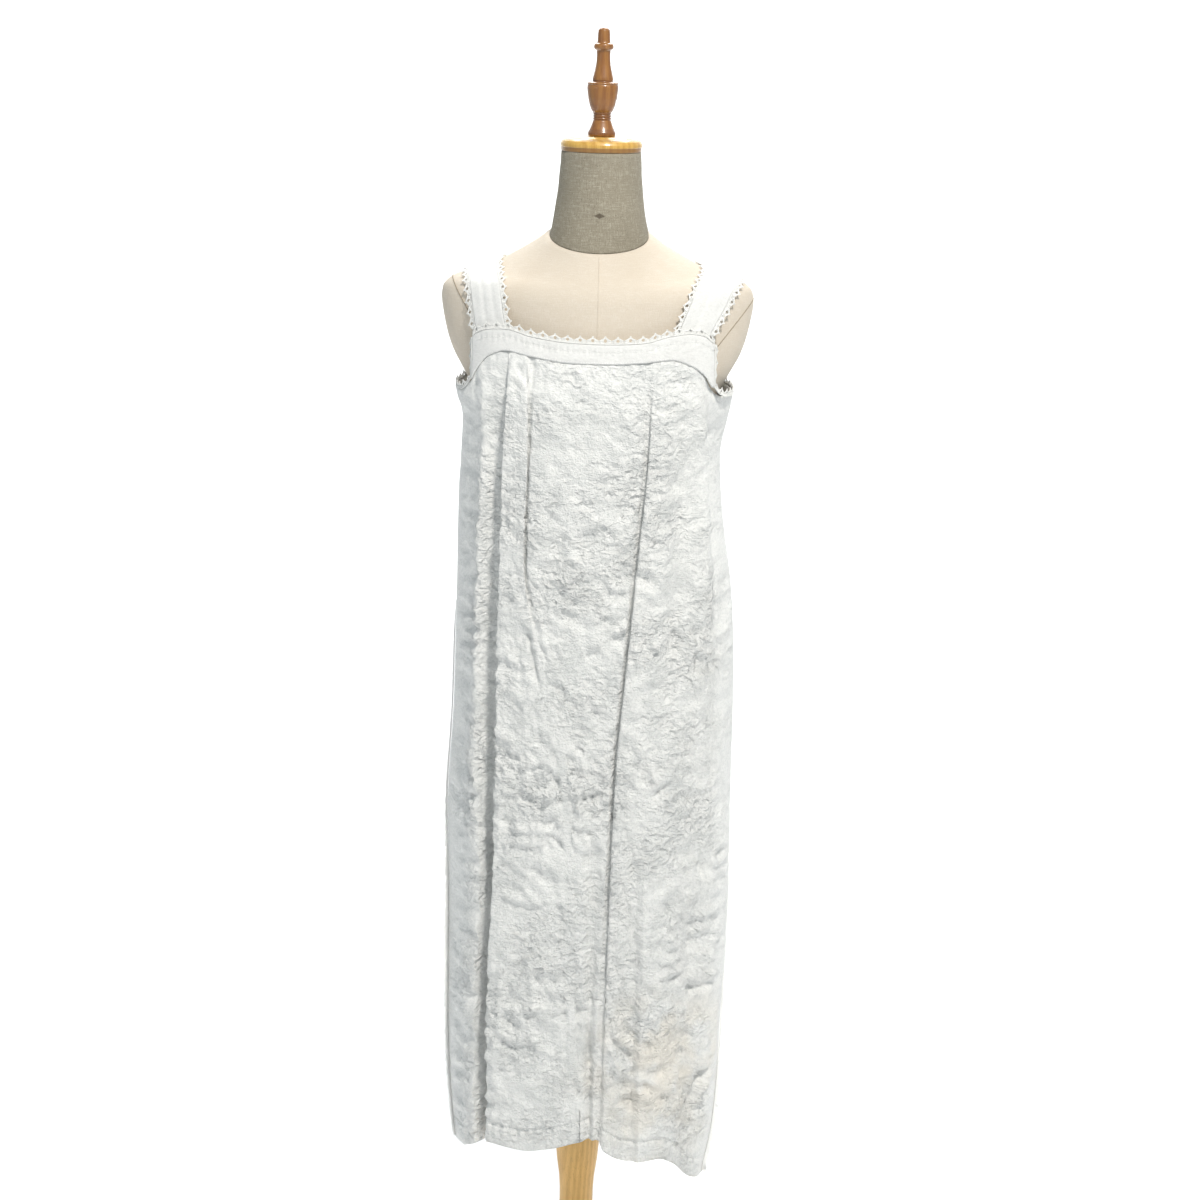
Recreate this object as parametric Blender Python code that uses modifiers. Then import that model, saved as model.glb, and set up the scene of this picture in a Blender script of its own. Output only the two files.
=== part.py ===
"""A sleeveless linen sundress, worn by a limbless dress form on a turned wooden stand.

Metres, +Z up. The origin is on the floor under the middle of the base. The dress faces -Y, and left and
right are those of someone who looks at its front. The cloth pieces are open surfaces thickened inwards,
worked out from an outline of the hanging dress and from the creases that run down it.
"""

import bisect
import math
from typing import NamedTuple

import bpy
from mathutils import Vector
from mathutils.bvhtree import BVHTree

# Driving sizes
GAP = 0.0003
CLOTH_WALL = 0.0012
BAND_WALL = 0.0022
BAND_RAISE = 0.0010
LACE_WALL = 0.0010
SEAM_GAP = 0.0012
EDGE_GAP = 0.0004
LACE_GAP = 0.0009
STRAP_GAP = 0.0009

# Lace: one repeat is a pointed arch with a hole
LACE_REPEAT = 0.0146
LACE_HEIGHT = 0.0096
LACE_VALLEY = 0.0043
LACE_HOLE_CENTRE = 0.0044
LACE_HOLE_RADIUS = 0.0023

# Fringe: overcast thread ends along a strip outside each side seam
FRINGE_TOP = 0.985
FRINGE_STRANDS = 96
FRINGE_STRIP = 0.0030
FRINGE_WALL = 0.0014
FRINGE_DROOP = 0.35
FRINGE_HEM_CLEARANCE = 0.004
FRINGE_GAP = 0.0006

# Straps are wound round this line, inside the shoulders
STRAP_AXIS_HEIGHT = 1.305
STRAP_ROWS = 22
STRAP_COLUMNS = 3
STRAP_CLEARANCE = 0.0021
STRAP_SET_BACK = 0.0008
SHOULDER_AT = 0.46

# Panels
PANEL_ROWS = 20
BAND_ROWS = 1
FRONT = 1
BACK = -1
TOP_READ_HEIGHT = 1.290
HEM_READ_HEIGHT = 0.280

# Dress form and stand
TORSO_SIDES = 32
NECK_BASE_HEIGHT = 1.4425
NECK_TOP_HEIGHT = 1.5427
NECK_TILT = 0.318
BASE_RADIUS = 0.200
BASE_HEIGHT = 0.030
TORSO_BOTTOM = 0.800


class Outline(NamedTuple):
    """A level section of the hanging dress before its creases: half widths, depths and squareness."""

    height: float
    left: float
    right: float
    front: float
    back: float
    roundness: float


DRESS = (
    Outline(1.350, 0.1700, 0.1700, 0.1000, 0.1000, 2.5),
    Outline(1.300, 0.1700, 0.1690, 0.1110, 0.1060, 2.5),
    Outline(1.257, 0.1710, 0.1690, 0.1190, 0.1090, 2.5),
    Outline(1.222, 0.1630, 0.1640, 0.1230, 0.1100, 2.4),
    Outline(1.180, 0.1640, 0.1570, 0.1250, 0.1110, 2.4),
    Outline(1.117, 0.1670, 0.1610, 0.1270, 0.1120, 2.4),
    Outline(0.989, 0.1680, 0.1780, 0.1290, 0.1150, 2.4),
    Outline(0.858, 0.1700, 0.1830, 0.1310, 0.1200, 2.4),
    Outline(0.725, 0.1760, 0.1840, 0.1320, 0.1220, 2.4),
    Outline(0.588, 0.1740, 0.1860, 0.1330, 0.1230, 2.4),
    Outline(0.449, 0.1740, 0.1830, 0.1340, 0.1240, 2.4),
    Outline(0.306, 0.1690, 0.1800, 0.1350, 0.1250, 2.4),
    Outline(0.230, 0.1620, 0.1720, 0.1350, 0.1250, 2.4),
)


class Seam(NamedTuple):
    """How far forward of the side each side seam lies, in degrees."""

    height: float
    left: float
    right: float


SEAMS = (
    Seam(1.257, -3.0, -4.0),
    Seam(0.950, 0.0, -6.0),
    Seam(0.800, 2.0, -6.0),
    Seam(0.650, 8.0, -4.0),
    Seam(0.500, 10.0, 0.0),
    Seam(0.360, 13.0, 9.0),
    Seam(0.250, 22.0, 21.0),
)


class Edge(NamedTuple):
    """The height of a cloth edge at a place across the dress."""

    across: float
    height: float


class BandEdge(NamedTuple):
    """The lower and upper edge of a neckline band at a place across the dress."""

    across: float
    bottom: float
    top: float


FRONT_BAND = (
    BandEdge(-0.149, 1.2740, 1.3250),
    BandEdge(-0.142, 1.2880, 1.3310),
    BandEdge(-0.128, 1.3060, 1.3365),
    BandEdge(-0.107, 1.3140, 1.3380),
    BandEdge(-0.077, 1.3090, 1.3310),
    BandEdge(-0.031, 1.3030, 1.3255),
    BandEdge(0.010, 1.3025, 1.3245),
    BandEdge(0.055, 1.3045, 1.3265),
    BandEdge(0.090, 1.3080, 1.3350),
    BandEdge(0.112, 1.3010, 1.3370),
    BandEdge(0.128, 1.2900, 1.3340),
    BandEdge(0.139, 1.2740, 1.3250),
)

BACK_BAND = (
    BandEdge(-0.147, 1.2760, 1.3260),
    BandEdge(-0.126, 1.3020, 1.3330),
    BandEdge(-0.090, 1.3080, 1.3310),
    BandEdge(0.000, 1.3020, 1.3240),
    BandEdge(0.090, 1.3080, 1.3310),
    BandEdge(0.126, 1.3020, 1.3330),
    BandEdge(0.145, 1.2760, 1.3260),
)

# Armhole edges run from a band's end down to the underarm at the side seam
FRONT_LEFT_ARMHOLE = (Edge(-0.1720, 1.2570), Edge(-0.1630, 1.2590), Edge(-0.1560, 1.2650))
FRONT_RIGHT_ARMHOLE = (Edge(0.1470, 1.2650), Edge(0.1570, 1.2590), Edge(0.1700, 1.2570))
BACK_LEFT_ARMHOLE = (Edge(-0.1720, 1.2570), Edge(-0.1630, 1.2600), Edge(-0.1550, 1.2670))
BACK_RIGHT_ARMHOLE = (Edge(0.1530, 1.2670), Edge(0.1610, 1.2600), Edge(0.1700, 1.2570))

FRONT_HEM = (
    Edge(-0.147, 0.2760),
    Edge(-0.139, 0.2830),
    Edge(-0.111, 0.3000),
    Edge(-0.072, 0.2960),
    Edge(-0.034, 0.3020),
    Edge(0.010, 0.3140),
    Edge(0.026, 0.3160),
    Edge(0.033, 0.3020),
    Edge(0.069, 0.2840),
    Edge(0.101, 0.2850),
    Edge(0.122, 0.2740),
    Edge(0.148, 0.2430),
    Edge(0.162, 0.2360),
)

BACK_HEM = (
    Edge(-0.147, 0.2760),
    Edge(-0.110, 0.2640),
    Edge(-0.050, 0.2720),
    Edge(0.020, 0.2630),
    Edge(0.090, 0.2700),
    Edge(0.130, 0.2560),
    Edge(0.162, 0.2360),
)


class FringeSize(NamedTuple):
    """How far the thread ends stand out of each side seam at a height, and how far they lean forward."""

    height: float
    left: float
    left_forward: float
    right: float
    right_forward: float


FRINGE = (
    FringeSize(0.985, 0.0020, 0.6, 0.0020, -0.5),
    FringeSize(0.860, 0.0022, 0.6, 0.0020, -0.5),
    FringeSize(0.720, 0.0045, 0.4, 0.0020, -0.5),
    FringeSize(0.620, 0.0085, 0.2, 0.0020, -0.5),
    FringeSize(0.560, 0.0115, 0.1, 0.0022, -0.5),
    FringeSize(0.480, 0.0085, 0.1, 0.0025, -0.3),
    FringeSize(0.400, 0.0055, 0.2, 0.0032, 0.0),
    FringeSize(0.340, 0.0035, 0.3, 0.0055, 0.3),
    FringeSize(0.240, 0.0020, 0.4, 0.0060, 0.4),
)

CREASE_HEIGHTS = (1.30, 1.20, 1.07, 0.95, 0.80, 0.65, 0.50, 0.36, 0.25)


class Crease(NamedTuple):
    """A line down the cloth, in millimetres at CREASE_HEIGHTS: its place across and how far it stands out."""

    name: str
    across: tuple[float, ...]
    lift: tuple[float, ...]
    steps: int


SEAM_STEPS = 4

FRONT_CREASES = (
    Crease(
        "side valley",
        (-149, -146, -149, -152, -158, -161, -161, -156, -147),
        (0, -3, -8, -9, -8, -5, -3, -2, -1),
        2,
    ),
    Crease(
        "side ridge",
        (-134, -133, -137, -139, -143, -146, -149, -148, -141),
        (0, 1, 2, 2, 3, 3, 3, 2, 1),
        2,
    ),
    Crease(
        "deep valley left",
        (-117, -121, -125, -126, -127, -128, -133, -133, -129),
        (0, -9, -16, -18, -20, -20, -20, -18, -15),
        1,
    ),
    Crease(
        "deep valley",
        (-110, -115, -118, -119, -120, -121, -126, -126, -122),
        (-1, -12, -19, -21, -23, -23, -23, -21, -18),
        1,
    ),
    Crease(
        "deep valley edge",
        (-103, -108, -110, -111, -111, -112, -117, -117, -114),
        (0, 1, 2, 3, 4, 4, 4, 3, 2),
        5,
    ),
    Crease(
        "left pleat ridge",
        (-81, -82, -84, -64, -32, -22, -16, -12, -10),
        (0, 2, 2, 1, 0, 0, 0, 0, 0),
        1,
    ),
    Crease(
        "left pleat line",
        (-77, -78, -80, -58, -25, -15, -9, -5, -4),
        (-1, -4, -4, -2, 0, 0, 0, 0, 0),
        1,
    ),
    Crease("left pleat foot", (-72, -73, -75, -51, -18, -8, -2, 2, 2), (0, 0, 0, 0, 0, 0, 0, 0, 0), 5),
    Crease("broad valley", (30, 30, 25, 16, 8, 10, 12, 14, 15), (0, 0, -1, -2, -4, -7, -8, -8, -6), 2),
    Crease("right pleat foot", (61, 61, 52, 43, 32, 28, 25, 24, 24), (0, -4, -6, -7, -8, -9, -9, -9, -7), 1),
    Crease("right pleat edge", (65, 65, 56, 47, 36, 32, 29, 28, 28), (0, 1, 2, 2, 2, 2, 2, 2, 1), 3),
    Crease("right panel", (80, 84, 83, 75, 66, 64, 65, 67, 68), (0, 2, 3, 3, 1, -2, -3, -3, -2), 2),
    Crease(
        "trough then ridge",
        (92, 101, 104, 99, 94, 98, 103, 107, 108),
        (0, -3, -7, -7, 0, 5, 6, 6, 5),
        3,
    ),
    Crease(
        "right hollow",
        (112, 122, 128, 129, 131, 134, 138, 140, 137),
        (0, 1, 3, 3, 0, -5, -6, -4, -2),
        2,
    ),
    Crease(
        "right ridge",
        (139, 144, 148, 156, 160, 161, 160, 158, 153),
        (0, 3, 3, 2, 2, 2, 3, 5, 3),
        SEAM_STEPS,
    ),
)

BACK_CREASES = (
    Crease(
        "left turn",
        (-147, -145, -147, -149, -152, -154, -154, -151, -146),
        (0, 0, 0, 0, 1, 2, 2, 2, 1),
        2,
    ),
    Crease(
        "left hollow",
        (-128, -126, -128, -130, -134, -136, -138, -136, -130),
        (0, -3, -7, -8, -8, -9, -8, -7, -5),
        3,
    ),
    Crease(
        "left roll",
        (-96, -98, -101, -104, -106, -108, -108, -106, -102),
        (0, 2, 4, 5, 5, 5, 4, 4, 3),
        3,
    ),
    Crease("left pleat edge", (-62, -62, -60, -56, -50, -46, -42, -40, -40), (0, 2, 2, 3, 3, 3, 2, 2, 2), 1),
    Crease(
        "left pleat line",
        (-57, -57, -55, -50, -44, -39, -35, -33, -33),
        (-1, -4, -6, -7, -7, -7, -6, -6, -5),
        3,
    ),
    Crease("centre roll", (-4, -2, 0, 3, 6, 8, 10, 10, 10), (0, 0, 1, 2, 3, 4, 5, 5, 4), 3),
    Crease(
        "right pleat line",
        (56, 57, 55, 54, 53, 52, 52, 54, 56),
        (-1, -4, -5, -6, -8, -9, -9, -8, -7),
        1,
    ),
    Crease("right pleat edge", (61, 62, 61, 60, 60, 60, 60, 62, 64), (0, 2, 2, 2, 3, 3, 3, 3, 2), 3),
    Crease("right roll", (95, 98, 102, 104, 104, 103, 102, 104, 106), (0, 2, 2, 0, -4, -6, -6, -5, -4), 3),
    Crease("right hollow", (126, 127, 130, 138, 142, 144, 142, 140, 134), (0, -3, -6, -4, 2, 4, 5, 4, 3), 2),
    Crease(
        "right turn",
        (145, 144, 146, 155, 160, 162, 160, 157, 150),
        (0, 0, 0, 0, 1, 1, 1, 0, 0),
        SEAM_STEPS,
    ),
)


class StrapPlace(NamedTuple):
    """The outer and inner edge of a shoulder strap at its front, at the shoulder and at its back."""

    name: str
    outer: tuple[float, float, float]
    inner: tuple[float, float, float]


STRAPS = (
    StrapPlace("left", (-0.1445, -0.1560, -0.1410), (-0.1085, -0.1230, -0.1080)),
    StrapPlace("right", (0.1340, 0.1690, 0.1390), (0.0975, 0.1310, 0.1060)),
)


class Ring(NamedTuple):
    """A section of the form's body: it tilts forward where the neck starts."""

    height: float
    half_width: float
    front: float
    back: float
    roundness: float
    tilt: float


TORSO = (
    Ring(NECK_BASE_HEIGHT, 0.0620, 0.0560, 0.0560, 2.0, NECK_TILT),
    Ring(1.4280, 0.0830, 0.0660, 0.0680, 1.9, 0.27),
    Ring(1.4125, 0.1130, 0.0760, 0.0790, 1.8, 0.20),
    Ring(1.4040, 0.1320, 0.0810, 0.0830, 1.8, 0.15),
    Ring(1.3985, 0.1520, 0.0840, 0.0850, 1.8, 0.12),
    Ring(1.3890, 0.1790, 0.0880, 0.0880, 1.8, 0.08),
    Ring(1.3780, 0.1885, 0.0910, 0.0910, 1.8, 0.04),
    Ring(1.3650, 0.1900, 0.0930, 0.0930, 1.8, 0.0),
    Ring(1.3290, 0.1840, 0.0980, 0.0960, 1.8, 0.0),
    Ring(1.3035, 0.1760, 0.1030, 0.0970, 1.8, 0.0),
    Ring(1.2790, 0.1630, 0.1070, 0.0960, 1.9, 0.0),
    Ring(1.2400, 0.1420, 0.1100, 0.0930, 2.0, 0.0),
    Ring(1.1900, 0.1270, 0.1100, 0.0890, 2.0, 0.0),
    Ring(1.1200, 0.1130, 0.0970, 0.0830, 2.0, 0.0),
    Ring(1.0500, 0.1060, 0.0850, 0.0800, 2.1, 0.0),
    Ring(0.9700, 0.1270, 0.0870, 0.0930, 2.1, 0.0),
    Ring(0.9000, 0.1420, 0.0890, 0.1010, 2.1, 0.0),
    Ring(0.8400, 0.1430, 0.0880, 0.1000, 2.1, 0.0),
    Ring(0.8100, 0.1400, 0.0860, 0.0970, 2.1, 0.0),
    Ring(TORSO_BOTTOM, 0.1330, 0.0800, 0.0910, 2.1, 0.0),
)

NECK = (
    Ring(NECK_TOP_HEIGHT, 0.0480, 0.0480, 0.0480, 2.0, 0.0),
    Ring(1.5100, 0.0500, 0.0495, 0.0495, 2.0, 0.05),
    Ring(1.4750, 0.0540, 0.0520, 0.0520, 2.0, 0.18),
    Ring(1.4550, 0.0575, 0.0535, 0.0535, 2.0, 0.26),
    Ring(NECK_BASE_HEIGHT + GAP, 0.0600, 0.0545, 0.0545, 2.0, NECK_TILT),
)


class Turning(NamedTuple):
    """A point on the outer side of a turned piece."""

    radius: float
    height: float


CAP_BOTTOM = NECK_TOP_HEIGHT + GAP
CAP_TOP = 1.5605

CAP = (
    Turning(0.0, CAP_TOP),
    Turning(0.0190, CAP_TOP),
    Turning(0.0250, 1.5598),
    Turning(0.0275, 1.5585),
    Turning(0.0300, 1.5590),
    Turning(0.0375, 1.5570),
    Turning(0.0400, 1.5585),
    Turning(0.0430, 1.5580),
    Turning(0.0470, 1.5555),
    Turning(0.0490, 1.5520),
    Turning(0.0490, 1.5450),
    Turning(0.0475, CAP_BOTTOM),
    Turning(0.0, CAP_BOTTOM),
)

FINIAL = (
    Turning(0.0, 1.6875),
    Turning(0.0045, 1.6865),
    Turning(0.0070, 1.6835),
    Turning(0.0075, 1.6720),
    Turning(0.0080, 1.6690),
    Turning(0.0119, 1.6665),
    Turning(0.0119, 1.6630),
    Turning(0.0080, 1.6600),
    Turning(0.0080, 1.6480),
    Turning(0.0095, 1.6420),
    Turning(0.0112, 1.6340),
    Turning(0.0130, 1.6270),
    Turning(0.0153, 1.6245),
    Turning(0.0187, 1.6220),
    Turning(0.0187, 1.6180),
    Turning(0.0180, 1.6120),
    Turning(0.0171, 1.6045),
    Turning(0.0150, 1.5965),
    Turning(0.0119, 1.5895),
    Turning(0.0107, 1.5880),
    Turning(0.0107, 1.5790),
    Turning(0.0116, 1.5760),
    Turning(0.0150, 1.5680),
    Turning(0.0165, 1.5640),
    Turning(0.0165, CAP_TOP + GAP),
    Turning(0.0, CAP_TOP + GAP),
)

POST = (
    Turning(0.0, TORSO_BOTTOM - GAP),
    Turning(0.0170, TORSO_BOTTOM - GAP),
    Turning(0.0170, 0.5600),
    Turning(0.0210, 0.5450),
    Turning(0.0280, 0.5200),
    Turning(0.0290, 0.4900),
    Turning(0.0290, 0.2500),
    Turning(0.0270, 0.2250),
    Turning(0.0235, 0.2000),
    Turning(0.0222, 0.1800),
    Turning(0.0220, 0.1500),
    Turning(0.0235, 0.1100),
    Turning(0.0290, 0.0750),
    Turning(0.0380, 0.0500),
    Turning(0.0420, BASE_HEIGHT + GAP),
    Turning(0.0, BASE_HEIGHT + GAP),
)

BASE = (
    Turning(0.0, BASE_HEIGHT),
    Turning(0.1600, BASE_HEIGHT),
    Turning(0.1880, 0.0270),
    Turning(0.1970, 0.0210),
    Turning(BASE_RADIUS, 0.0140),
    Turning(BASE_RADIUS, 0.0040),
    Turning(0.1960, 0.0),
    Turning(0.0, 0.0),
)


def curve(stations, values, at):
    """A smooth curve through values at rising stations. It never overshoots and stays level past its ends."""
    if at <= stations[0]:
        return values[0]
    if at >= stations[-1]:
        return values[-1]
    low = bisect.bisect_right(stations, at) - 1

    def secant(k):
        return (values[k + 1] - values[k]) / (stations[k + 1] - stations[k])

    def slope(k):
        if k == 0:
            return secant(0)
        if k == len(stations) - 1:
            return secant(k - 1)
        before = secant(k - 1)
        after = secant(k)
        if before * after <= 0:
            return 0.0
        return 2 * before * after / (before + after)

    span = stations[low + 1] - stations[low]
    t = (at - stations[low]) / span
    rise = t * t * (3 - 2 * t)
    start = slope(low) * span * t * (1 - t) ** 2
    end = slope(low + 1) * span * t * t * (1 - t)
    return values[low] + (values[low + 1] - values[low]) * rise + start - end


def down(table, column, height):
    """A column of a table whose rows run from top to bottom, read at a height."""
    rows = table[::-1]
    return curve([row.height for row in rows], [getattr(row, column) for row in rows], height)


def over(table, column, across):
    """A column of a table whose rows run from left to right, read at a place across."""
    return curve([row.across for row in table], [getattr(row, column) for row in table], across)


def signed_power(value, power):
    """A power of the size of a value, with its sign kept."""
    return math.copysign(abs(value) ** power, value)


def dress_point(angle, height, lift=0.0):
    """A point on the hanging dress: angle 0 is its left side, 90 degrees its front, 180 its right side."""
    power = down(DRESS, "roundness", height)
    half_width = down(DRESS, "left" if math.cos(angle) > 0 else "right", height)
    depth = down(DRESS, "front" if math.sin(angle) > 0 else "back", height)
    x = -half_width * signed_power(math.cos(angle), 2 / power)
    y = -depth * signed_power(math.sin(angle), 2 / power)
    out_x = signed_power(x / half_width, power - 1) / half_width
    out_y = signed_power(y / depth, power - 1) / depth
    outward = Vector((out_x, out_y, 0.0)).normalized()
    return Vector((x, y, height)) + outward * lift


def level_outward(angle, height):
    """The level direction in which the dress faces."""
    return (dress_point(angle, height, 0.01) - dress_point(angle, height)).normalized()


def angle_at(across, height, side):
    """The angle at which the front or the back of the dress lies this far across."""
    half_width = down(DRESS, "left" if across < 0 else "right", height)
    reach = min(abs(across) / half_width, 1.0) ** (down(DRESS, "roundness", height) / 2)
    return side * math.acos(math.copysign(reach, -across))


def seam_angle(name, height, side):
    """The angle of a side seam, counted round the front or round the back."""
    forward = math.radians(down(SEAMS, name, height))
    if name == "left":
        return forward
    return math.pi - forward if side == FRONT else -math.pi - forward


def crease_value(values, height):
    """A crease's column of values, in millimetres at CREASE_HEIGHTS, read in metres at a height."""
    return curve(CREASE_HEIGHTS[::-1], values[::-1], height) / 1000


def finish(name, colour, roughness, metallic=0.0):
    """A plain material, shared by the pieces that it covers."""
    material = bpy.data.materials.get(name)
    if material:
        return material
    material = bpy.data.materials.new(name)
    material.use_nodes = True
    shader = material.node_tree.nodes["Principled BSDF"]
    shader.inputs["Base Color"].default_value = (*colour, 1.0)
    shader.inputs["Roughness"].default_value = roughness
    shader.inputs["Metallic"].default_value = metallic
    return material


def linen():
    return finish("white linen", (0.80, 0.81, 0.80), 0.85)


def crochet():
    return finish("white crochet cotton", (0.78, 0.77, 0.74), 0.9)


def form_cover():
    return finish("cream form cover", (0.76, 0.68, 0.57), 0.9)


def neck_cover():
    return finish("grey linen neck cover", (0.50, 0.45, 0.38), 0.9)


def varnished_wood():
    return finish("golden varnished wood", (0.55, 0.27, 0.07), 0.3)


def oak():
    return finish("pale oak", (0.55, 0.34, 0.14), 0.5)


def add_object(name, points, faces, material, parts, smooth=True):
    """A mesh object in the parts' collection."""
    mesh = bpy.data.meshes.new(name)
    mesh.from_pydata([tuple(point) for point in points], [], faces)
    mesh.materials.append(material)
    mesh.update()
    if smooth and faces:
        mesh.shade_smooth()
    thing = bpy.data.objects.new(name, mesh)
    parts.objects.link(thing)
    return thing


def thicken(thing, wall):
    """Gives an open surface its wall, on the side away from its faces."""
    solid = thing.modifiers.new("Wall", "SOLIDIFY")
    solid.thickness = wall
    solid.offset = -1.0
    solid.use_even_offset = False
    solid.use_rim = True


def grid_faces(rows, columns, flip=False):
    """Quads over a grid of points laid out row by row."""
    faces = []
    for row in range(rows):
        for column in range(columns):
            first = row * (columns + 1) + column
            below = first + columns + 1
            face = (first, below, below + 1, first + 1)
            faces.append(face[::-1] if flip else face)
    return faces


def panel_top(side):
    """The upper edge of a panel, under its band and down each armhole to the underarm."""
    if side == FRONT:
        left, band, right = FRONT_LEFT_ARMHOLE, FRONT_BAND, FRONT_RIGHT_ARMHOLE
    else:
        left, band, right = BACK_LEFT_ARMHOLE, BACK_BAND, BACK_RIGHT_ARMHOLE
    middle = tuple(Edge(row.across, row.bottom - EDGE_GAP) for row in band)
    return left + middle + right


class End(NamedTuple):
    """Where a line of cloth ends at an edge of its panel."""

    angle: float
    across: float
    height: float


class Column(NamedTuple):
    """A line of cloth between two creases, and how far it is from the first to the second."""

    first: Crease | None
    second: Crease | None
    share: float


def panel_columns(creases):
    """The lines of cloth from the left seam to the right seam. None stands for a seam."""
    stops = (None, *creases, None)
    columns = []
    for first, second in zip(stops, stops[1:]):
        steps = first.steps if first else SEAM_STEPS
        columns += [Column(first, second, step / steps) for step in range(steps)]
    columns.append(Column(creases[-1], None, 1.0))
    return columns


def column_place(column, height, side):
    """The angle and the lift of a line of cloth at a height."""
    ends = []
    for crease, seam in ((column.first, "left"), (column.second, "right")):
        if crease:
            angle = angle_at(crease_value(crease.across, height), height, side)
            ends.append((angle, crease_value(crease.lift, height)))
        else:
            ends.append((seam_angle(seam, height, side), 0.0))
    share = column.share
    ease = share * share * (3 - 2 * share)
    angle = ends[0][0] + (ends[1][0] - ends[0][0]) * share
    lift = ends[0][1] + (ends[1][1] - ends[0][1]) * ease
    return angle, lift


def column_end(table, column, read_height, side):
    """Where a line of cloth meets an edge of its panel, found in a few steps from a height near it."""
    height = read_height
    for _ in range(4):
        angle = column_place(column, height, side)[0]
        across = dress_point(angle, height).x
        height = over(table, "height", across)
    return End(angle, across, height)


def make_panel(name, creases, hem, side, parts):
    """The front or the back: one width of cloth from seam to seam and from its band to its hem.

    Returns the upper ends of its lines of cloth.
    """
    columns = panel_columns(creases)
    tops = [column_end(panel_top(side), column, TOP_READ_HEIGHT, side) for column in columns]
    hems = [column_end(hem, column, HEM_READ_HEIGHT, side) for column in columns]
    points = []
    for row in range(PANEL_ROWS + 1):
        for column, top, bottom in zip(columns, tops, hems):
            height = top.height + (bottom.height - top.height) * row / PANEL_ROWS
            angle, lift = column_place(column, height, side)
            point = dress_point(angle, height, lift)
            if column in (columns[0], columns[-1]):
                outward = level_outward(angle, height)
                along = Vector((-outward.y, outward.x, 0.0))
                point += along * math.copysign(SEAM_GAP / 2, -side * along.y)
            points.append(point)
    faces = grid_faces(PANEL_ROWS, len(columns) - 1, flip=side == BACK)
    thing = add_object(name, points, faces, linen(), parts)
    thicken(thing, CLOTH_WALL)
    return tops


def under_band(tops):
    """The upper ends of a panel's lines of cloth that its band covers."""
    return tops[SEAM_STEPS:-SEAM_STEPS]


def make_band(name, table, tops, side, parts):
    """A stitched strip along a neckline, a little thicker than the cloth whose upper edge it meets."""
    lower_edge = under_band(tops)
    points = []
    for row in range(BAND_ROWS + 1):
        for place in lower_edge:
            top = over(table, "top", place.across)
            height = top + (place.height + EDGE_GAP - top) * row / BAND_ROWS
            points.append(dress_point(angle_at(place.across, height, side), height, BAND_RAISE))
    faces = grid_faces(BAND_ROWS, len(lower_edge) - 1, flip=side == BACK)
    thing = add_object(name, points, faces, linen(), parts)
    thicken(thing, BAND_WALL)


def level_ring(ring, sides):
    """The points round one section of the form."""
    points = []
    for step in range(sides):
        angle = 2 * math.pi * step / sides
        depth = ring.back if math.sin(angle) > 0 else ring.front
        x = ring.half_width * signed_power(math.cos(angle), 2 / ring.roundness)
        y = depth * signed_power(math.sin(angle), 2 / ring.roundness)
        points.append(Vector((x, y, ring.height + ring.tilt * y)))
    return points


def make_loft(name, rings, material, parts):
    """A closed body through sections from top to bottom, with a flat face at each end."""
    sides = TORSO_SIDES
    points = [point for ring in rings for point in level_ring(ring, sides)]
    faces = [tuple(range(sides))]
    for row in range(len(rings) - 1):
        for step in range(sides):
            after = (step + 1) % sides
            above = row * sides
            below = above + sides
            faces.append((above + step, below + step, below + after, above + after))
    last = (len(rings) - 1) * sides
    faces.append(tuple(range(last + sides - 1, last - 1, -1)))
    return add_object(name, points, faces, material, parts)


def make_turned(name, profile, sides, material, parts):
    """A turned piece: its profile runs down its outer side and is spun round the axis."""
    mesh = bpy.data.meshes.new(name)
    foot = profile[-1].height
    points = [(spot.radius, 0.0, spot.height - foot) for spot in profile]
    mesh.from_pydata(points, [(k, k + 1) for k in range(len(points) - 1)], [])
    mesh.materials.append(material)
    thing = bpy.data.objects.new(name, mesh)
    thing.location.z = foot
    parts.objects.link(thing)
    screw = thing.modifiers.new("Turn", "SCREW")
    screw.steps = sides
    screw.render_steps = sides
    screw.use_merge_vertices = True
    screw.merge_threshold = 0.00001
    screw.use_smooth_shade = True


def taut(angles, reaches):
    """Reaches of a ribbon pulled tight round an outline, which is given by its reaches from an inner axis."""
    spots = [Vector((reach * math.cos(a), reach * math.sin(a))) for a, reach in zip(angles, reaches)]
    pulled = list(reaches)
    for middle, angle in enumerate(angles):
        along = Vector((math.cos(angle), math.sin(angle)))
        for start in range(middle):
            for end in range(middle + 1, len(spots)):
                chord = spots[end] - spots[start]
                reach = spots[start].cross(chord) / along.cross(chord)
                pulled[middle] = max(pulled[middle], reach)
    return pulled


def strap_across(place, share, edge_share):
    """How far across a strap lies, from its front (0) to its back (1) and from its outer to its inner edge."""
    stations = (0.0, SHOULDER_AT, 1.0)
    outer = curve(stations, place.outer, share)
    inner = curve(stations, place.inner, share)
    return outer + (inner - outer) * edge_share


def strap_end(across, side):
    """Where a strap meets a band's upper edge."""
    table = FRONT_BAND if side == FRONT else BACK_BAND
    height = over(table, "top", across) + STRAP_GAP
    return dress_point(angle_at(across, height, side), height, -STRAP_SET_BACK)


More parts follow.
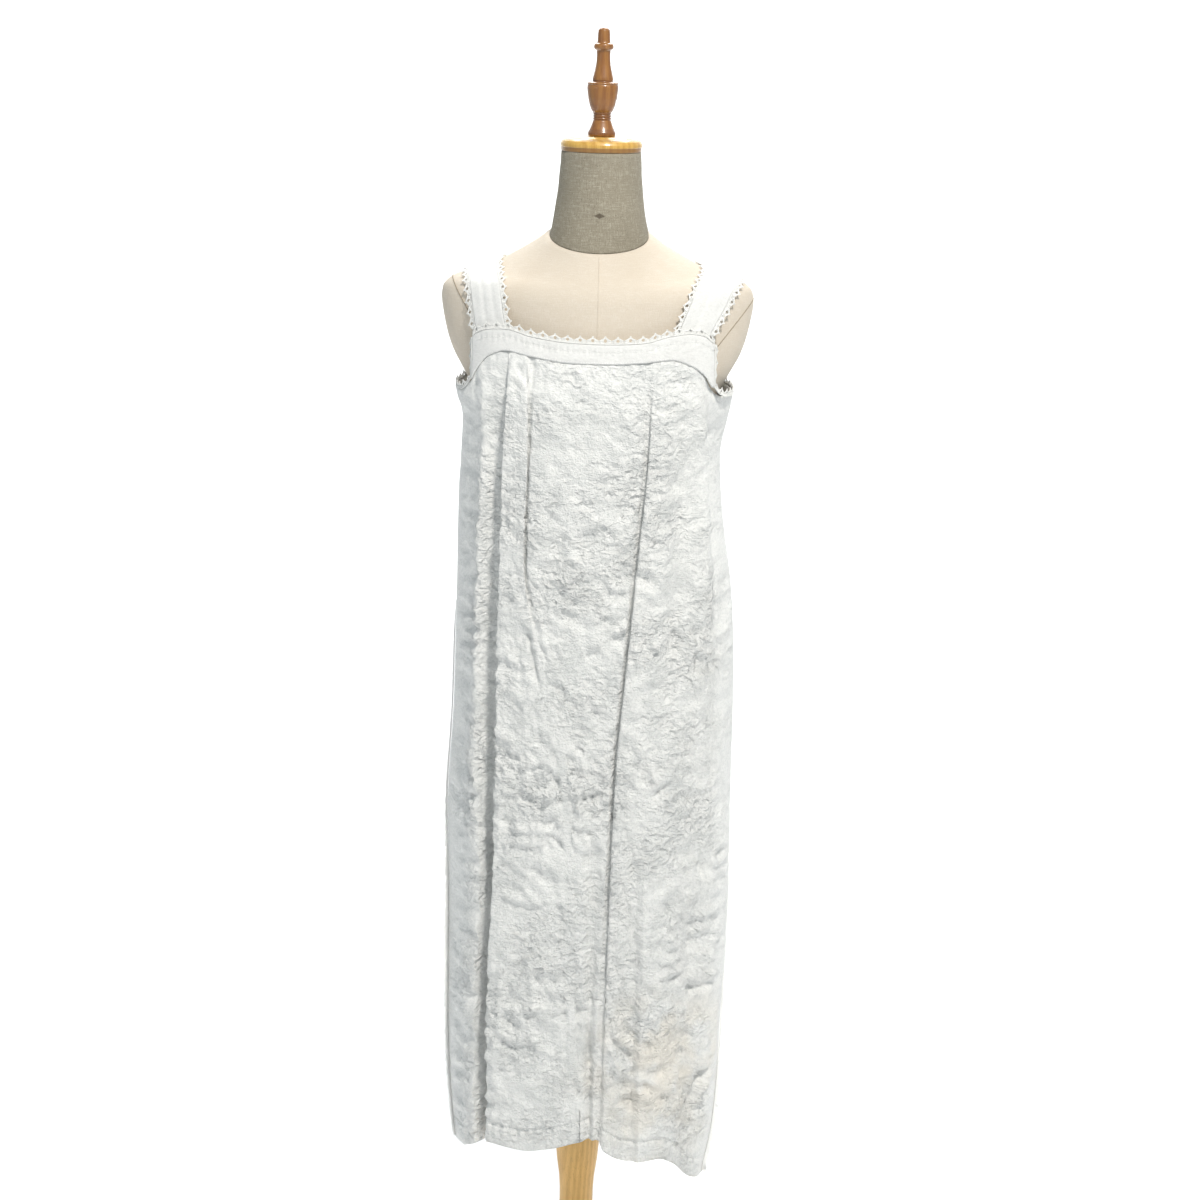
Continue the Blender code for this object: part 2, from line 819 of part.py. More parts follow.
def strap_line(place, edge_share, body):
    """One line of a strap, from the front band over the shoulder to the back band."""
    front = strap_end(strap_across(place, 0.0, edge_share), FRONT)
    back = strap_end(strap_across(place, 1.0, edge_share), BACK)
    start = math.atan2(front.z - STRAP_AXIS_HEIGHT, -front.y)
    end = math.atan2(back.z - STRAP_AXIS_HEIGHT, -back.y)
    angles = [start + (end - start) * row / STRAP_ROWS for row in range(STRAP_ROWS + 1)]
    reaches = []
    for row, angle in enumerate(angles):
        across = strap_across(place, row / STRAP_ROWS, edge_share)
        origin = Vector((across, 0.0, STRAP_AXIS_HEIGHT))
        along = Vector((0.0, -math.cos(angle), math.sin(angle)))
        spot, facing, _, reach = body.ray_cast(origin, along)
        reaches.append(reach + (CLOTH_WALL + STRAP_CLEARANCE) / max(abs(facing.dot(along)), 0.5))
    reaches[0] = math.hypot(front.y, front.z - STRAP_AXIS_HEIGHT)
    reaches[-1] = math.hypot(back.y, back.z - STRAP_AXIS_HEIGHT)
    pulled = taut(angles, reaches)
    line = []
    for row, (angle, reach) in enumerate(zip(angles, pulled)):
        across = strap_across(place, row / STRAP_ROWS, edge_share)
        line.append(Vector((across, -reach * math.cos(angle), STRAP_AXIS_HEIGHT + reach * math.sin(angle))))
    return line


class Trail(NamedTuple):
    """The line that an edging is sewn to: its points, the way that it points off the cloth, and its facing."""

    points: list[Vector]
    away: list[Vector]
    facing: list[Vector]


def trail_at(trail, distance):
    """A place on a trail at a distance from its start."""
    walked = 0.0
    for k in range(len(trail.points) - 1):
        step = (trail.points[k + 1] - trail.points[k]).length
        if walked + step >= distance or k == len(trail.points) - 2:
            share = (distance - walked) / step
            break
        walked += step
    point = trail.points[k].lerp(trail.points[k + 1], share)
    away = trail.away[k].lerp(trail.away[k + 1], share).normalized()
    facing = trail.facing[k].lerp(trail.facing[k + 1], share).normalized()
    return point, away, facing


def trail_length(trail):
    return sum((b - a).length for a, b in zip(trail.points, trail.points[1:]))


def make_lace(name, trail, parts, start=0.0):
    """A crocheted edging: a row of pointed arches, each with a hole through it."""
    length = trail_length(trail) - 2 * start
    repeats = max(2, round(length / LACE_REPEAT))
    pitch = length / repeats
    points = []

    def put(along, height):
        point, away, _ = trail_at(trail, start + along)
        points.append(point + away * height)
        return len(points) - 1

    feet = [put(k * pitch, 0.0) for k in range(repeats + 1)]
    valleys = [put(k * pitch, LACE_VALLEY) for k in range(repeats + 1)]
    faces = []
    for k in range(repeats):
        middle = (k + 0.5) * pitch
        peak = put(middle, LACE_HEIGHT)
        low = put(middle, LACE_HOLE_CENTRE - LACE_HOLE_RADIUS)
        right = put(middle + LACE_HOLE_RADIUS, LACE_HOLE_CENTRE)
        high = put(middle, LACE_HOLE_CENTRE + LACE_HOLE_RADIUS)
        left = put(middle - LACE_HOLE_RADIUS, LACE_HOLE_CENTRE)
        faces.append((feet[k], feet[k + 1], low))
        faces.append((feet[k + 1], valleys[k + 1], right, low))
        faces.append((valleys[k + 1], peak, high, right))
        faces.append((peak, valleys[k], left, high))
        faces.append((valleys[k], feet[k], low, left))
    _, away, facing = trail_at(trail, length / 2)
    along = trail_at(trail, length / 2 + pitch)[0] - trail_at(trail, length / 2)[0]
    if along.cross(away).dot(facing) < 0:
        faces = [face[::-1] for face in faces]
    thing = add_object(name, points, faces, crochet(), parts, smooth=False)
    thicken(thing, LACE_WALL)


def neck_trail(table, tops, side):
    """The upper edge of a neckline band."""
    points, away, facing = [], [], []
    for across in (place.across for place in under_band(tops)):
        height = over(table, "top", across) + LACE_GAP
        foot = dress_point(angle_at(across, height, side), height, LACE_WALL)
        tip_height = height + LACE_HEIGHT
        tip = dress_point(angle_at(across, tip_height, side), tip_height, LACE_WALL)
        points.append(foot)
        away.append((tip - foot).normalized())
        facing.append(Vector((0.0, -side, 0.0)))
    return Trail(points, away, facing)


def strap_trail(edge, neighbour):
    """The edge of a strap, with the edging in the strap's own plane."""
    points, away, facing = [], [], []
    for spot, inside in zip(edge, neighbour):
        outward = (spot - inside).normalized()
        points.append(spot + outward * LACE_GAP)
        away.append(outward)
        facing.append((spot - Vector((spot.x, 0.0, STRAP_AXIS_HEIGHT))).normalized())
    return Trail(points, away, facing)


def armhole_side(name, tops, side):
    """One half of an armhole's edge, from the underarm at the seam to the upper corner of a band."""
    table = FRONT_BAND if side == FRONT else BACK_BAND
    ends = tops[: SEAM_STEPS + 1] if name == "left" else tops[: -SEAM_STEPS - 2 : -1]
    points = [dress_point(end.angle, end.height + LACE_GAP) for end in ends[:-1]]
    corner = ends[-1]
    across = corner.across + math.copysign(LACE_GAP, corner.across)
    top = over(table, "top", corner.across) - LACE_GAP
    for share in (0.06, 0.5, 1.0):
        height = corner.height + (top - corner.height) * share
        points.append(dress_point(angle_at(across, height, side), height))
    return points


def armhole_trail(name, front_tops, back_tops):
    """An armhole's edge, from the front band under the arm to the back band."""
    front = armhole_side(name, front_tops, FRONT)
    back = armhole_side(name, back_tops, BACK)
    points = front[::-1] + back[1:]
    sign = 1 if name == "left" else -1
    away, facing = [], []
    for k, point in enumerate(points):
        along = points[min(k + 1, len(points) - 1)] - points[max(k - 1, 0)]
        outward = Vector((point.x, 0.75 * point.y, 0.0)).normalized()
        away.append(along.cross(outward).normalized() * sign)
        facing.append(outward)
    return Trail(points, away, facing)


def seam_point(name, height):
    """A point on a side seam, on the straight lines between the rows of points that both panels share."""
    top = SEAMS[0].height
    hem = FRONT_HEM[0 if name == "left" else -1].height
    step = (hem - top) / PANEL_ROWS
    row = min(int((height - top) / step), PANEL_ROWS - 1)
    ends = []
    for level in (top + step * row, top + step * (row + 1)):
        ends.append(dress_point(seam_angle(name, level, FRONT), level))
    return ends[0].lerp(ends[1], (height - top) / step - row)


def make_fringe(name, parts):
    """Thread ends that stand out from a side seam: a narrow strip with a row of pointed strands on it."""
    up = Vector((0.0, 0.0, 1.0))
    low = FRONT_HEM[0 if name == "left" else -1].height + FRINGE_HEM_CLEARANCE
    points = []
    tips = []
    for row in range(FRINGE_STRANDS + 1):
        height = FRINGE_TOP + (low - FRINGE_TOP) * row / FRINGE_STRANDS
        outward = level_outward(seam_angle(name, height, FRONT), height)
        forward = up.cross(outward)
        if forward.y > 0:
            forward.negate()
        lie = (outward + forward * down(FRINGE, name + "_forward", height)).normalized()
        thick = lie.cross(up).normalized() * FRINGE_WALL / 2
        root = seam_point(name, height) + outward * FRINGE_GAP
        edge = root + lie * FRINGE_STRIP
        points += [root, edge - thick, edge + thick]
        reach = down(FRINGE, name, height) * (0.85 + 0.15 * math.sin(1.7 * row) * math.cos(0.9 * row))
        tips.append(edge + lie * reach - up * FRINGE_DROOP * reach)
    faces = [(2, 1, 0)]
    for row in range(FRINGE_STRANDS):
        above = 3 * row
        below = above + 3
        faces.append((above, above + 1, below + 1, below))
        faces.append((above + 2, above, below, below + 2))
        points.append((tips[row] + tips[row + 1]) / 2)
        tip = len(points) - 1
        corners = (above + 1, above + 2, below + 2, below + 1)
        faces += [(corners[k], corners[(k + 1) % 4], tip) for k in range(4)]
    last = 3 * FRINGE_STRANDS
    faces.append((last, last + 1, last + 2))
    add_object(f"fringe_{name}", points, faces, crochet(), parts, smooth=False)


def make_straps(body, parts):
    """Both shoulder straps and the edging on each side of them."""
    for place in STRAPS:
        shares = [step / STRAP_COLUMNS for step in range(STRAP_COLUMNS + 1)]
        lines = [strap_line(place, share, body) for share in shares]
        points = [line[row] for row in range(STRAP_ROWS + 1) for line in lines]
        flip = place.name == "left"
        faces = grid_faces(STRAP_ROWS, STRAP_COLUMNS, flip=flip)
        strap = add_object(f"strap_{place.name}", points, faces, linen(), parts)
        thicken(strap, CLOTH_WALL)
        make_lace(f"lace_strap_{place.name}_outer", strap_trail(lines[0], lines[1]), parts, start=0.005)
        make_lace(f"lace_strap_{place.name}_inner", strap_trail(lines[-1], lines[-2]), parts, start=0.001)


def make_form(parts):
    """The limbless form, its neck, the cap and finial on the neck, and the stand below."""
    torso = make_loft("form_torso", TORSO, form_cover(), parts)
    make_loft("form_neck", NECK, neck_cover(), parts)
    make_turned("neck_cap", CAP, 24, varnished_wood(), parts)
    make_turned("finial", FINIAL, 20, varnished_wood(), parts)
    make_turned("stand_post", POST, 20, oak(), parts)
    make_turned("stand_base", BASE, 40, oak(), parts)
    faces = [tuple(face.vertices) for face in torso.data.polygons]
    return BVHTree.FromPolygons([vertex.co for vertex in torso.data.vertices], faces)


def main():
    for thing in list(bpy.data.objects):
        bpy.data.objects.remove(thing)
    parts = bpy.data.collections.new("sundress")
    bpy.context.scene.collection.children.link(parts)
    body = make_form(parts)
    front_tops = make_panel("front_panel", FRONT_CREASES, FRONT_HEM, FRONT, parts)
    back_tops = make_panel("back_panel", BACK_CREASES, BACK_HEM, BACK, parts)
    make_band("front_band", FRONT_BAND, front_tops, FRONT, parts)
    make_band("back_band", BACK_BAND, back_tops, BACK, parts)
    make_straps(body, parts)
    make_lace("lace_neck_front", neck_trail(FRONT_BAND, front_tops, FRONT), parts, start=0.001)
    make_lace("lace_neck_back", neck_trail(BACK_BAND, back_tops, BACK), parts, start=0.001)
    for name in ("left", "right"):
        make_lace(f"lace_armhole_{name}", armhole_trail(name, front_tops, back_tops), parts, start=0.001)
        make_fringe(name, parts)


if __name__ == "__main__":
    main()
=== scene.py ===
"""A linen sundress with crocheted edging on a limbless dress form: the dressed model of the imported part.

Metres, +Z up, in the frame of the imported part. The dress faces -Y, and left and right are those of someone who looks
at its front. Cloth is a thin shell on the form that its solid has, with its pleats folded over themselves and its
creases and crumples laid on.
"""

import logging
import math
from dataclasses import dataclass
from enum import Enum
from typing import NamedTuple

import bmesh
import bpy
import numpy as np
from mathutils import Matrix, Vector, noise
from mathutils.bvhtree import BVHTree

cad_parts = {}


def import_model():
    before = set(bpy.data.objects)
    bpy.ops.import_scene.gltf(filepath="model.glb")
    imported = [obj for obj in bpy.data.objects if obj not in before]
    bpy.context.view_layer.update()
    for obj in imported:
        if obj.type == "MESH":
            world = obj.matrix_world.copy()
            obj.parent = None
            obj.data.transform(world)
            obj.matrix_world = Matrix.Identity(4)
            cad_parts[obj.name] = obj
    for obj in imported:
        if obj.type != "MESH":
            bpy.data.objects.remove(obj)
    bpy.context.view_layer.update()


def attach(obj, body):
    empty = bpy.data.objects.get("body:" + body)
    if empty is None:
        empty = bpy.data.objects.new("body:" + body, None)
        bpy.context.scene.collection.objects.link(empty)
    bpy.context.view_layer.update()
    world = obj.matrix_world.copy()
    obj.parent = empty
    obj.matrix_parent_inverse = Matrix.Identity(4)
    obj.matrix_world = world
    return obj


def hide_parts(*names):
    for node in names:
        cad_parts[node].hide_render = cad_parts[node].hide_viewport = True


log = logging.getLogger("sundress")

Array = np.ndarray
Colour = tuple[float, float, float, float]
Place = tuple[float, float, float]
Material = bpy.types.Material
Thing = bpy.types.Object

MM = 0.001
CLOTH_MAP = "Cloth"
ROOT = "root"
UP = np.array([0.0, 0.0, 1.0])


class Side(Enum):
    """The two faces of the dress."""

    FRONT = 1
    BACK = -1


class Hand(Enum):
    """The two flanks, as seen from the front."""

    LEFT = "left"
    RIGHT = "right"


# --- Shader tools ---


class Value:
    """A node's output that takes part in shader maths: an expression on it adds Math nodes."""

    def __init__(self, tree: bpy.types.NodeTree, socket: bpy.types.NodeSocket) -> None:
        """Wraps a socket of a tree."""
        self.tree = tree
        self.socket = socket

    def maths(self, operation: str, *inputs: "Value | float") -> "Value":
        """Adds a Math node.

        Args:
            operation: the node's operation.
            inputs: its values or links, in order.

        Returns:
            The node's output.
        """
        node = self.tree.nodes.new("ShaderNodeMath")
        node.operation = operation
        for socket, given in zip(node.inputs, inputs):
            join(self.tree, socket, given)
        return Value(self.tree, node.outputs[0])

    def __add__(self, other: "Value | float") -> "Value":
        """Sum."""
        return self.maths("ADD", self, other)

    def __radd__(self, other: float) -> "Value":
        """Sum with a number first."""
        return self.maths("ADD", other, self)

    def __sub__(self, other: "Value | float") -> "Value":
        """Difference."""
        return self.maths("SUBTRACT", self, other)

    def __rsub__(self, other: float) -> "Value":
        """Difference from a number."""
        return self.maths("SUBTRACT", other, self)

    def __mul__(self, other: "Value | float") -> "Value":
        """Product."""
        return self.maths("MULTIPLY", self, other)

    def __rmul__(self, other: float) -> "Value":
        """Product with a number first."""
        return self.maths("MULTIPLY", other, self)

    def __abs__(self) -> "Value":
        """Size without sign."""
        return self.maths("ABSOLUTE", self)

    def sine(self) -> "Value":
        """Sine."""
        return self.maths("SINE", self)

    def between(self, low: float, high: float) -> "Value":
        """A smooth mask.

        Args:
            low: where the mask is 0.
            high: where the mask is 1.

        Returns:
            The mask, which may fall where low is above high.
        """
        node = self.tree.nodes.new("ShaderNodeMapRange")
        node.interpolation_type = "SMOOTHSTEP"
        for name, given in (("Value", self), ("From Min", low), ("From Max", high)):
            join(self.tree, node.inputs[name], given)
        return Value(self.tree, node.outputs[0])


def join(tree: bpy.types.NodeTree, socket: bpy.types.NodeSocket, given: object) -> None:
    """Sets a socket to a number or colour, or links it.

    Args:
        tree: the node tree.
        socket: the input socket.
        given: a Value to link, or what the socket holds.
    """
    if isinstance(given, Value):
        tree.links.new(given.socket, socket)
    else:
        socket.default_value = given


class Bench:
    """A material while it is being made."""

    def __init__(self, name: str, **fixed: float) -> None:
        """Starts a material.

        Args:
            name: the material's name.
            fixed: numbers of the shader's own sockets, with _ for a space.
        """
        self.material = bpy.data.materials.new(name)
        self.material.use_nodes = True
        self.tree = self.material.node_tree
        self.shader = self.tree.nodes["Principled BSDF"]
        for socket, number in fixed.items():
            self.shader.inputs[socket.replace("_", " ")].default_value = number

    def node(self, kind: str, settings: dict[str, object], inputs: dict[str | int, object],
             output: str | int = 0) -> Value:
        """Adds any node.

        Args:
            kind: the node's type without its ShaderNode.
            settings: its settings, and a ramp's stops as (place, colour) pairs.
            inputs: the values or links of its sockets.
            output: the output that is wanted.

        Returns:
            That output.
        """
        made = self.tree.nodes.new("ShaderNode" + kind)
        for name, setting in settings.items():
            if name == "stops":
                ramp = made.color_ramp.elements
                while len(ramp) < len(setting):
                    ramp.new(0.5)
                for stop, (place, colour) in zip(ramp, setting):
                    stop.position = place
                    stop.color = colour
            else:
                setattr(made, name, setting)
        for name, given in inputs.items():
            join(self.tree, made.inputs[name], given)
        return Value(self.tree, made.outputs[output])

    def mix(self, share: Value | float, first: object, second: object) -> Value:
        """A colour that lies this share of the way from the first colour or link to the second."""
        return self.node("Mix", {"data_type": "RGBA"}, {0: share, 6: first, 7: second}, 2)

    def place(self) -> Value:
        """The place on the piece, in metres of the row frame."""
        return self.node("TexCoord", {}, {}, "Object")

    def cloth(self) -> Value:
        """The place on the cloth, in metres across and along."""
        return self.node("UVMap", {"uv_map": CLOTH_MAP}, {}, "UV")

    def axes(self, vector: Value) -> tuple[Value, Value, Value]:
        """The three parts of a vector."""
        split = self.node("SeparateXYZ", {}, {0: vector}).socket.node
        return tuple(Value(self.tree, socket) for socket in split.outputs)

    def noise(self, vector: Value, scale: Place, detail: float = 2.0, rough: float = 0.5) -> Value:
        """Soft noise about one half, with this many features a metre each way."""
        placed = self.node("Mapping", {}, {"Vector": vector, "Scale": scale})
        return self.node("TexNoise", {}, {"Vector": placed, "Scale": 1.0, "Detail": detail, "Roughness": rough})

    def relief(self, height: Value) -> None:
        """Raises the surface by a height in millimetres."""
        bump = self.node("Bump", {}, {"Strength": 1.0, "Distance": MM, "Height": height})
        join(self.tree, self.shader.inputs["Normal"], bump)

    def wear(self, socket: str, given: Value) -> None:
        """Links a value to one of the shader's sockets."""
        join(self.tree, self.shader.inputs[socket], given)


# --- Finishes ---


@dataclass(frozen=True)
class WashedLinen:
    """Cool white plain-weave linen with slubs and fine crumples, with painted shade in their hollows
    and a painted warm reflection low on one side.

    Heights are in millimetres. flank is how far forward or back the cloth starts to hang free and is wholly free,
    and below_band the heights between which the band holds it flat.
    """

    name: str
    colour: Colour = (0.885, 0.886, 0.868, 1.0)
    # slub_and_shade is the colour of the thick threads and also of the painted shade in the crumples' hollows
    slub_and_shade: Colour = (0.680, 0.692, 0.682, 1.0)
    # warm_reflection is a painted warm reflection, laid into the colour low on one side
    warm_reflection: Colour = (0.880, 0.810, 0.700, 1.0)
    thread: float = 0.00065
    crumple: float = 1.0
    weave_height: float = 0.06
    slub_height: float = 0.12
    grain_height: float = 1.9
    crepe_height: float = 2.4
    fold_depth: float = 8.0
    broad_depth: float = 23.0
    flank: tuple[float, float] = (0.065, 0.100)
    below_band: tuple[float, float] = (1.29, 1.22)
    reflection_middle: Place = (0.115, -0.120, 0.400)
    reflection_reach: tuple[float, float] = (0.16, 0.03)

    def material(self) -> Material:
        """Lays out the shader.

        Returns:
            The finished material.
        """
        bench = Bench(self.name, Sheen_Weight=0.15, Specular_IOR_Level=0.25)
        cloth = bench.cloth()
        across, along, _ = bench.axes(cloth)
        warp = (across * (math.pi / self.thread)).sine()
        weft = (along * (math.pi / self.thread)).sine()
        weave = abs(warp) + abs(weft) + warp * weft * 0.6
        thick_weft = bench.noise(cloth, (55, 900, 1), 2.0).between(0.50, 0.72)
        thick_warp = bench.noise(cloth, (800, 45, 1), 2.0).between(0.52, 0.74)
        slubs = thick_weft + thick_warp * 0.8
        folds = abs(bench.noise(cloth, (95, 120, 1), 3.0, 0.55) - 0.5)
        creping = bench.noise(cloth, (230, 300, 1), 2.0)
        grain = bench.noise(cloth, (430, 620, 1), 2.0)
        broad = abs(bench.noise(cloth, (44, 58, 1), 2.0, 0.5) - 0.5)
        _, depth, level = bench.axes(bench.place())
        hanging = (0.35 + abs(depth).between(*self.flank) * 0.65) * (0.55 + level.between(*self.below_band) * 0.45)
        patchy = bench.noise(cloth, (9, 12, 1), 2.0).between(0.38, 0.60) * 0.70 + 0.30
        creased = (creping * self.crepe_height - folds * self.fold_depth - broad * self.broad_depth) * patchy
        soft = (slubs * self.slub_height + grain * self.grain_height + creased) * hanging
        bench.relief(weave * self.weave_height + soft * self.crumple)
        # Painted shade: the colour darkens in soft clouds and where the crumples and grain lie low, as if in shade
        clouds = bench.noise(cloth, (26, 19, 1), 3.0, 0.6).between(0.56, 0.38) * hanging
        hollow = clouds * 0.42 + creping.between(0.56, 0.36) * 0.30 + grain.between(0.55, 0.35) * 0.30
        slubbed_and_shaded = bench.mix(slubs * 0.20 + hollow, self.colour, self.slub_and_shade)
        # Painted reflection: a warm glow laid into the colour low on one side, as if bounced from below
        away = bench.node("VectorMath", {"operation": "DISTANCE"}, {0: bench.place(), 1: self.reflection_middle}, "Value")
        painted_reflection = away.between(*self.reflection_reach) * bench.noise(bench.place(), (22, 22, 18), 2.0).between(0.35, 0.65)
        bench.wear("Base Color", bench.mix(painted_reflection * 0.55, slubbed_and_shaded, self.warm_reflection))
        bench.wear("Roughness", 0.80 + grain * 0.12)
        return bench.material


@dataclass(frozen=True)
class TwistedCotton:
    """White cotton thread with a fine twist."""

    name: str
    colour: Colour = (0.79, 0.79, 0.77, 1.0)
    hollow: Colour = (0.62, 0.61, 0.58, 1.0)

    def material(self) -> Material:
        """Lays out the shader.

        Returns:
            The finished material.
        """
        bench = Bench(self.name, Sheen_Weight=0.1, Specular_IOR_Level=0.25)
        place = bench.place()
        fuzz = bench.noise(place, (1400, 1400, 1400), 2.0)
        uneven = bench.noise(place, (160, 160, 160), 2.0)
        bench.relief(fuzz * 0.22 + uneven * 0.2)
        bench.wear("Base Color", bench.mix(uneven.between(0.5, 0.75) * 0.5, self.colour, self.hollow))
        bench.wear("Roughness", 0.82 + fuzz * 0.12)
        return bench.material


@dataclass(frozen=True)
class FormLinen:
    """The linen that covers the dress form, with paler and darker threads both ways."""

    name: str
    colour: Colour
    dark: Colour
    pale: Colour
    grain: float
    mark: Colour | None = None
    mark_middle: Place = (0.0, 0.0, 0.0)
    mark_half: tuple[float, float] = (0.0072, 0.0034)

    def material(self) -> Material:
        """Lays out the shader.

        Returns:
            The finished material.
        """
        bench = Bench(self.name, Sheen_Weight=0.1, Specular_IOR_Level=0.2)
        place = bench.place()
        level = bench.noise(place, (90, 90, 1100), 2.0)
        upright = bench.noise(place, (1100, 1100, 90), 2.0)
        specks = bench.noise(place, (900, 900, 900), 3.0, 0.7)
        clouds = bench.noise(place, (16, 16, 12), 2.0)
        woven = level * 0.5 + upright * 0.5
        bench.relief(woven * 0.45 + specks * self.grain)
        colour = bench.mix(woven.between(0.48, 0.62) * 0.6, self.colour, self.pale)
        colour = bench.mix(specks.between(0.52, 0.68) * self.grain, colour, self.dark)
        colour = bench.mix(clouds.between(0.45, 0.8) * 0.22, colour, self.dark)
        if self.mark:
            x, y, z = (part - middle for part, middle in zip(bench.axes(place), self.mark_middle))
            wide, high = self.mark_half
            near = abs(x) * (1 / wide) + abs(z) * (1 / high) + y.between(0.0, 0.02) * 9.0
            colour = bench.mix(near.between(1.15, 0.75) * 0.8, colour, self.mark)
        bench.wear("Base Color", colour)
        bench.wear("Roughness", 0.84 + specks * 0.1)
        return bench.material


@dataclass(frozen=True)
class TurnedWood:
    """Turned wood whose grain runs up the piece, under a clear finish."""

    name: str
    pale: Colour
    deep: Colour
    pore: Colour
    coat: float
    coat_roughness: float
    base_roughness: float
    rings: float
    dark_bands: tuple[tuple[float, float], ...] = ()
    dark: Colour = (0.20, 0.08, 0.025, 1.0)
    edge: float = 0.0006

    def material(self) -> Material:
        """Lays out the shader.

        Returns:
            The finished material.
        """
        bench = Bench(self.name, Coat_Roughness=self.coat_roughness)
        place = bench.place()
        warp = bench.noise(place, (14, 14, 2.0), 2.0)
        x, y, z = bench.axes(place)
        rings = ((x * 0.9 + y * 0.45 + warp * 0.030) * self.rings).sine()
        streak = bench.noise(place, (420, 420, 9), 3.0, 0.6)
        pores = bench.noise(place, (1500, 1500, 40), 1.0).between(0.60, 0.72)
        colour = bench.mix(rings.between(-0.8, 0.9) * 0.55 + streak.between(0.35, 0.7) * 0.4, self.pale, self.deep)
        colour = bench.mix(pores * 0.45, colour, self.pore)
        for low, high in self.dark_bands:
            band = z.between(low - self.edge, low + self.edge) * z.between(high + self.edge, high - self.edge)
            colour = bench.mix(band * 0.75, colour, self.dark)
        bench.wear("Base Color", colour)
        bench.relief(streak * 0.06 - pores * 0.08)
        bench.wear("Roughness", self.base_roughness + streak * 0.15)
        bench.wear("Coat Weight", self.coat - pores * 0.1)
        return bench.material


@dataclass(frozen=True)
class PaleFloor:
    """A plain matt floor."""

    name: str = "pale floor"
    colour: Colour = (0.93, 0.93, 0.93, 1.0)

    def material(self) -> Material:
        """Lays out the shader.

        Returns:
            The finished material.
        """
        bench = Bench(self.name, Roughness=0.9, Specular_IOR_Level=0.1)
        mottle = bench.noise(bench.place(), (3, 3, 3), 2.0)
        bench.wear("Base Color", bench.mix(mottle * 0.05, self.colour, (0.88, 0.88, 0.88, 1.0)))
        return bench.material


# --- Curves and meshes ---


@dataclass(frozen=True)
class Curve:
    """A smooth curve through values at rising stations, which never overshoots and stays level past both ends."""

    stations: tuple[float, ...]
    values: tuple[float, ...]

    def at(self, places: Array | float) -> Array:
        """Reads the curve.

        Args:
            places: stations, which may lie past the ends.

        Returns:
            The curve's values there.
        """
        stations = np.array(self.stations, float)
        values = np.array(self.values, float)
        secant = np.diff(values) / np.diff(stations)
        slope = np.empty_like(values)
        slope[0], slope[-1] = secant[0], secant[-1]
        before, after = secant[:-1], secant[1:]
        same = before * after > 0
        slope[1:-1] = np.where(same, 2 * before * after / np.where(same, before + after, 1.0), 0.0)
        places = np.clip(places, stations[0], stations[-1])
        low = np.clip(np.searchsorted(stations, places, side="right") - 1, 0, len(stations) - 2)
        span = stations[low + 1] - stations[low]
        t = (places - stations[low]) / span
        rise = values[low] + (values[low + 1] - values[low]) * t * t * (3 - 2 * t)
        return rise + slope[low] * span * t * (1 - t) ** 2 - slope[low + 1] * span * t * t * (1 - t)


def read_down(table: tuple, column: str) -> Curve:
    """A column of a table whose rows run from top to bottom, as a curve over height."""
    rows = table[::-1]
    return Curve(tuple(row.height for row in rows), tuple(getattr(row, column) for row in rows))


def read_over(table: tuple, column: str) -> Curve:
    """A column of a table whose rows run from left to right, as a curve across."""
    return Curve(tuple(row.across for row in table), tuple(getattr(row, column) for row in table))


def signed(values: Array, power: Array | float) -> Array:
    """A power of the size of each value, with its sign kept."""
    return np.sign(values) * np.abs(values) ** power


def unit(vectors: Array) -> Array:
    """Vectors made one long."""
    return vectors / np.maximum(np.linalg.norm(vectors, axis=-1, keepdims=True), 1e-12)


def smooth_step(values: Array) -> Array:
    """0 to 1 with level ends."""
    t = np.clip(values, 0.0, 1.0)
    return t * t * (3 - 2 * t)


def circle(turns: Array) -> Array:
    """Points of a circle of radius one at some angles."""
    return np.stack([np.cos(turns), np.sin(turns)], -1)


def walked_along(points: Array) -> Array:
    """How far along a line each of its points lies."""
    return np.concatenate([[0.0], np.cumsum(np.linalg.norm(np.diff(points, axis=0), axis=1))])


def read_along(at: Array, walked: Array, values: Array) -> Array:
    """The points or directions of a line at some distances along it."""
    return np.stack([np.interp(at, walked, values[:, k]) for k in range(3)], -1)


def noise_over(places: Array, scale: float, seed: float) -> Array:
    """Gradient noise from -1 to 1 at flat places.

    Args:
        places: places across and along, in metres.
        scale: features a metre.
        seed: which noise.

    Returns:
        One number a place.
    """
    flat = places.reshape(-1, 2) * scale
    found = [noise.noise(Vector((a, b, seed))) for a, b in flat]
    return np.array(found).reshape(places.shape[:-1])


def add_mesh(name: str, points: Array, faces: list, material: Material, smooth: bool = True,
             cloth: Array | None = None, tidy: bool = False) -> Thing:
    """Makes a mesh object.

    Args:
        name: the object's name.
        points: its points.
        faces: its faces as lists of point numbers.
        material: its material.
        smooth: whether it is shaded smooth.
        cloth: the place of each point on the cloth, for the Cloth map.
        tidy: whether to merge equal points and face everything outwards.

    Returns:
        The object, in the scene.
    """
    mesh = bpy.data.meshes.new(name)
    mesh.from_pydata(np.asarray(points).tolist(), [], faces)
    if cloth is not None:
        layer = mesh.uv_layers.new(name=CLOTH_MAP)
        corners = np.empty(len(mesh.loops), np.int32)
        mesh.loops.foreach_get("vertex_index", corners)
        layer.data.foreach_set("uv", cloth[corners].astype(np.float32).ravel())
    if tidy:
        work = bmesh.new()
        work.from_mesh(mesh)
        bmesh.ops.remove_doubles(work, verts=work.verts, dist=1e-7)
        bmesh.ops.recalc_face_normals(work, faces=work.faces)
        work.to_mesh(mesh)
        work.free()
    if smooth:
        mesh.shade_smooth()
    mesh.materials.append(material)
    mesh.update()
    thing = bpy.data.objects.new(name, mesh)
    bpy.context.scene.collection.objects.link(thing)
    return thing


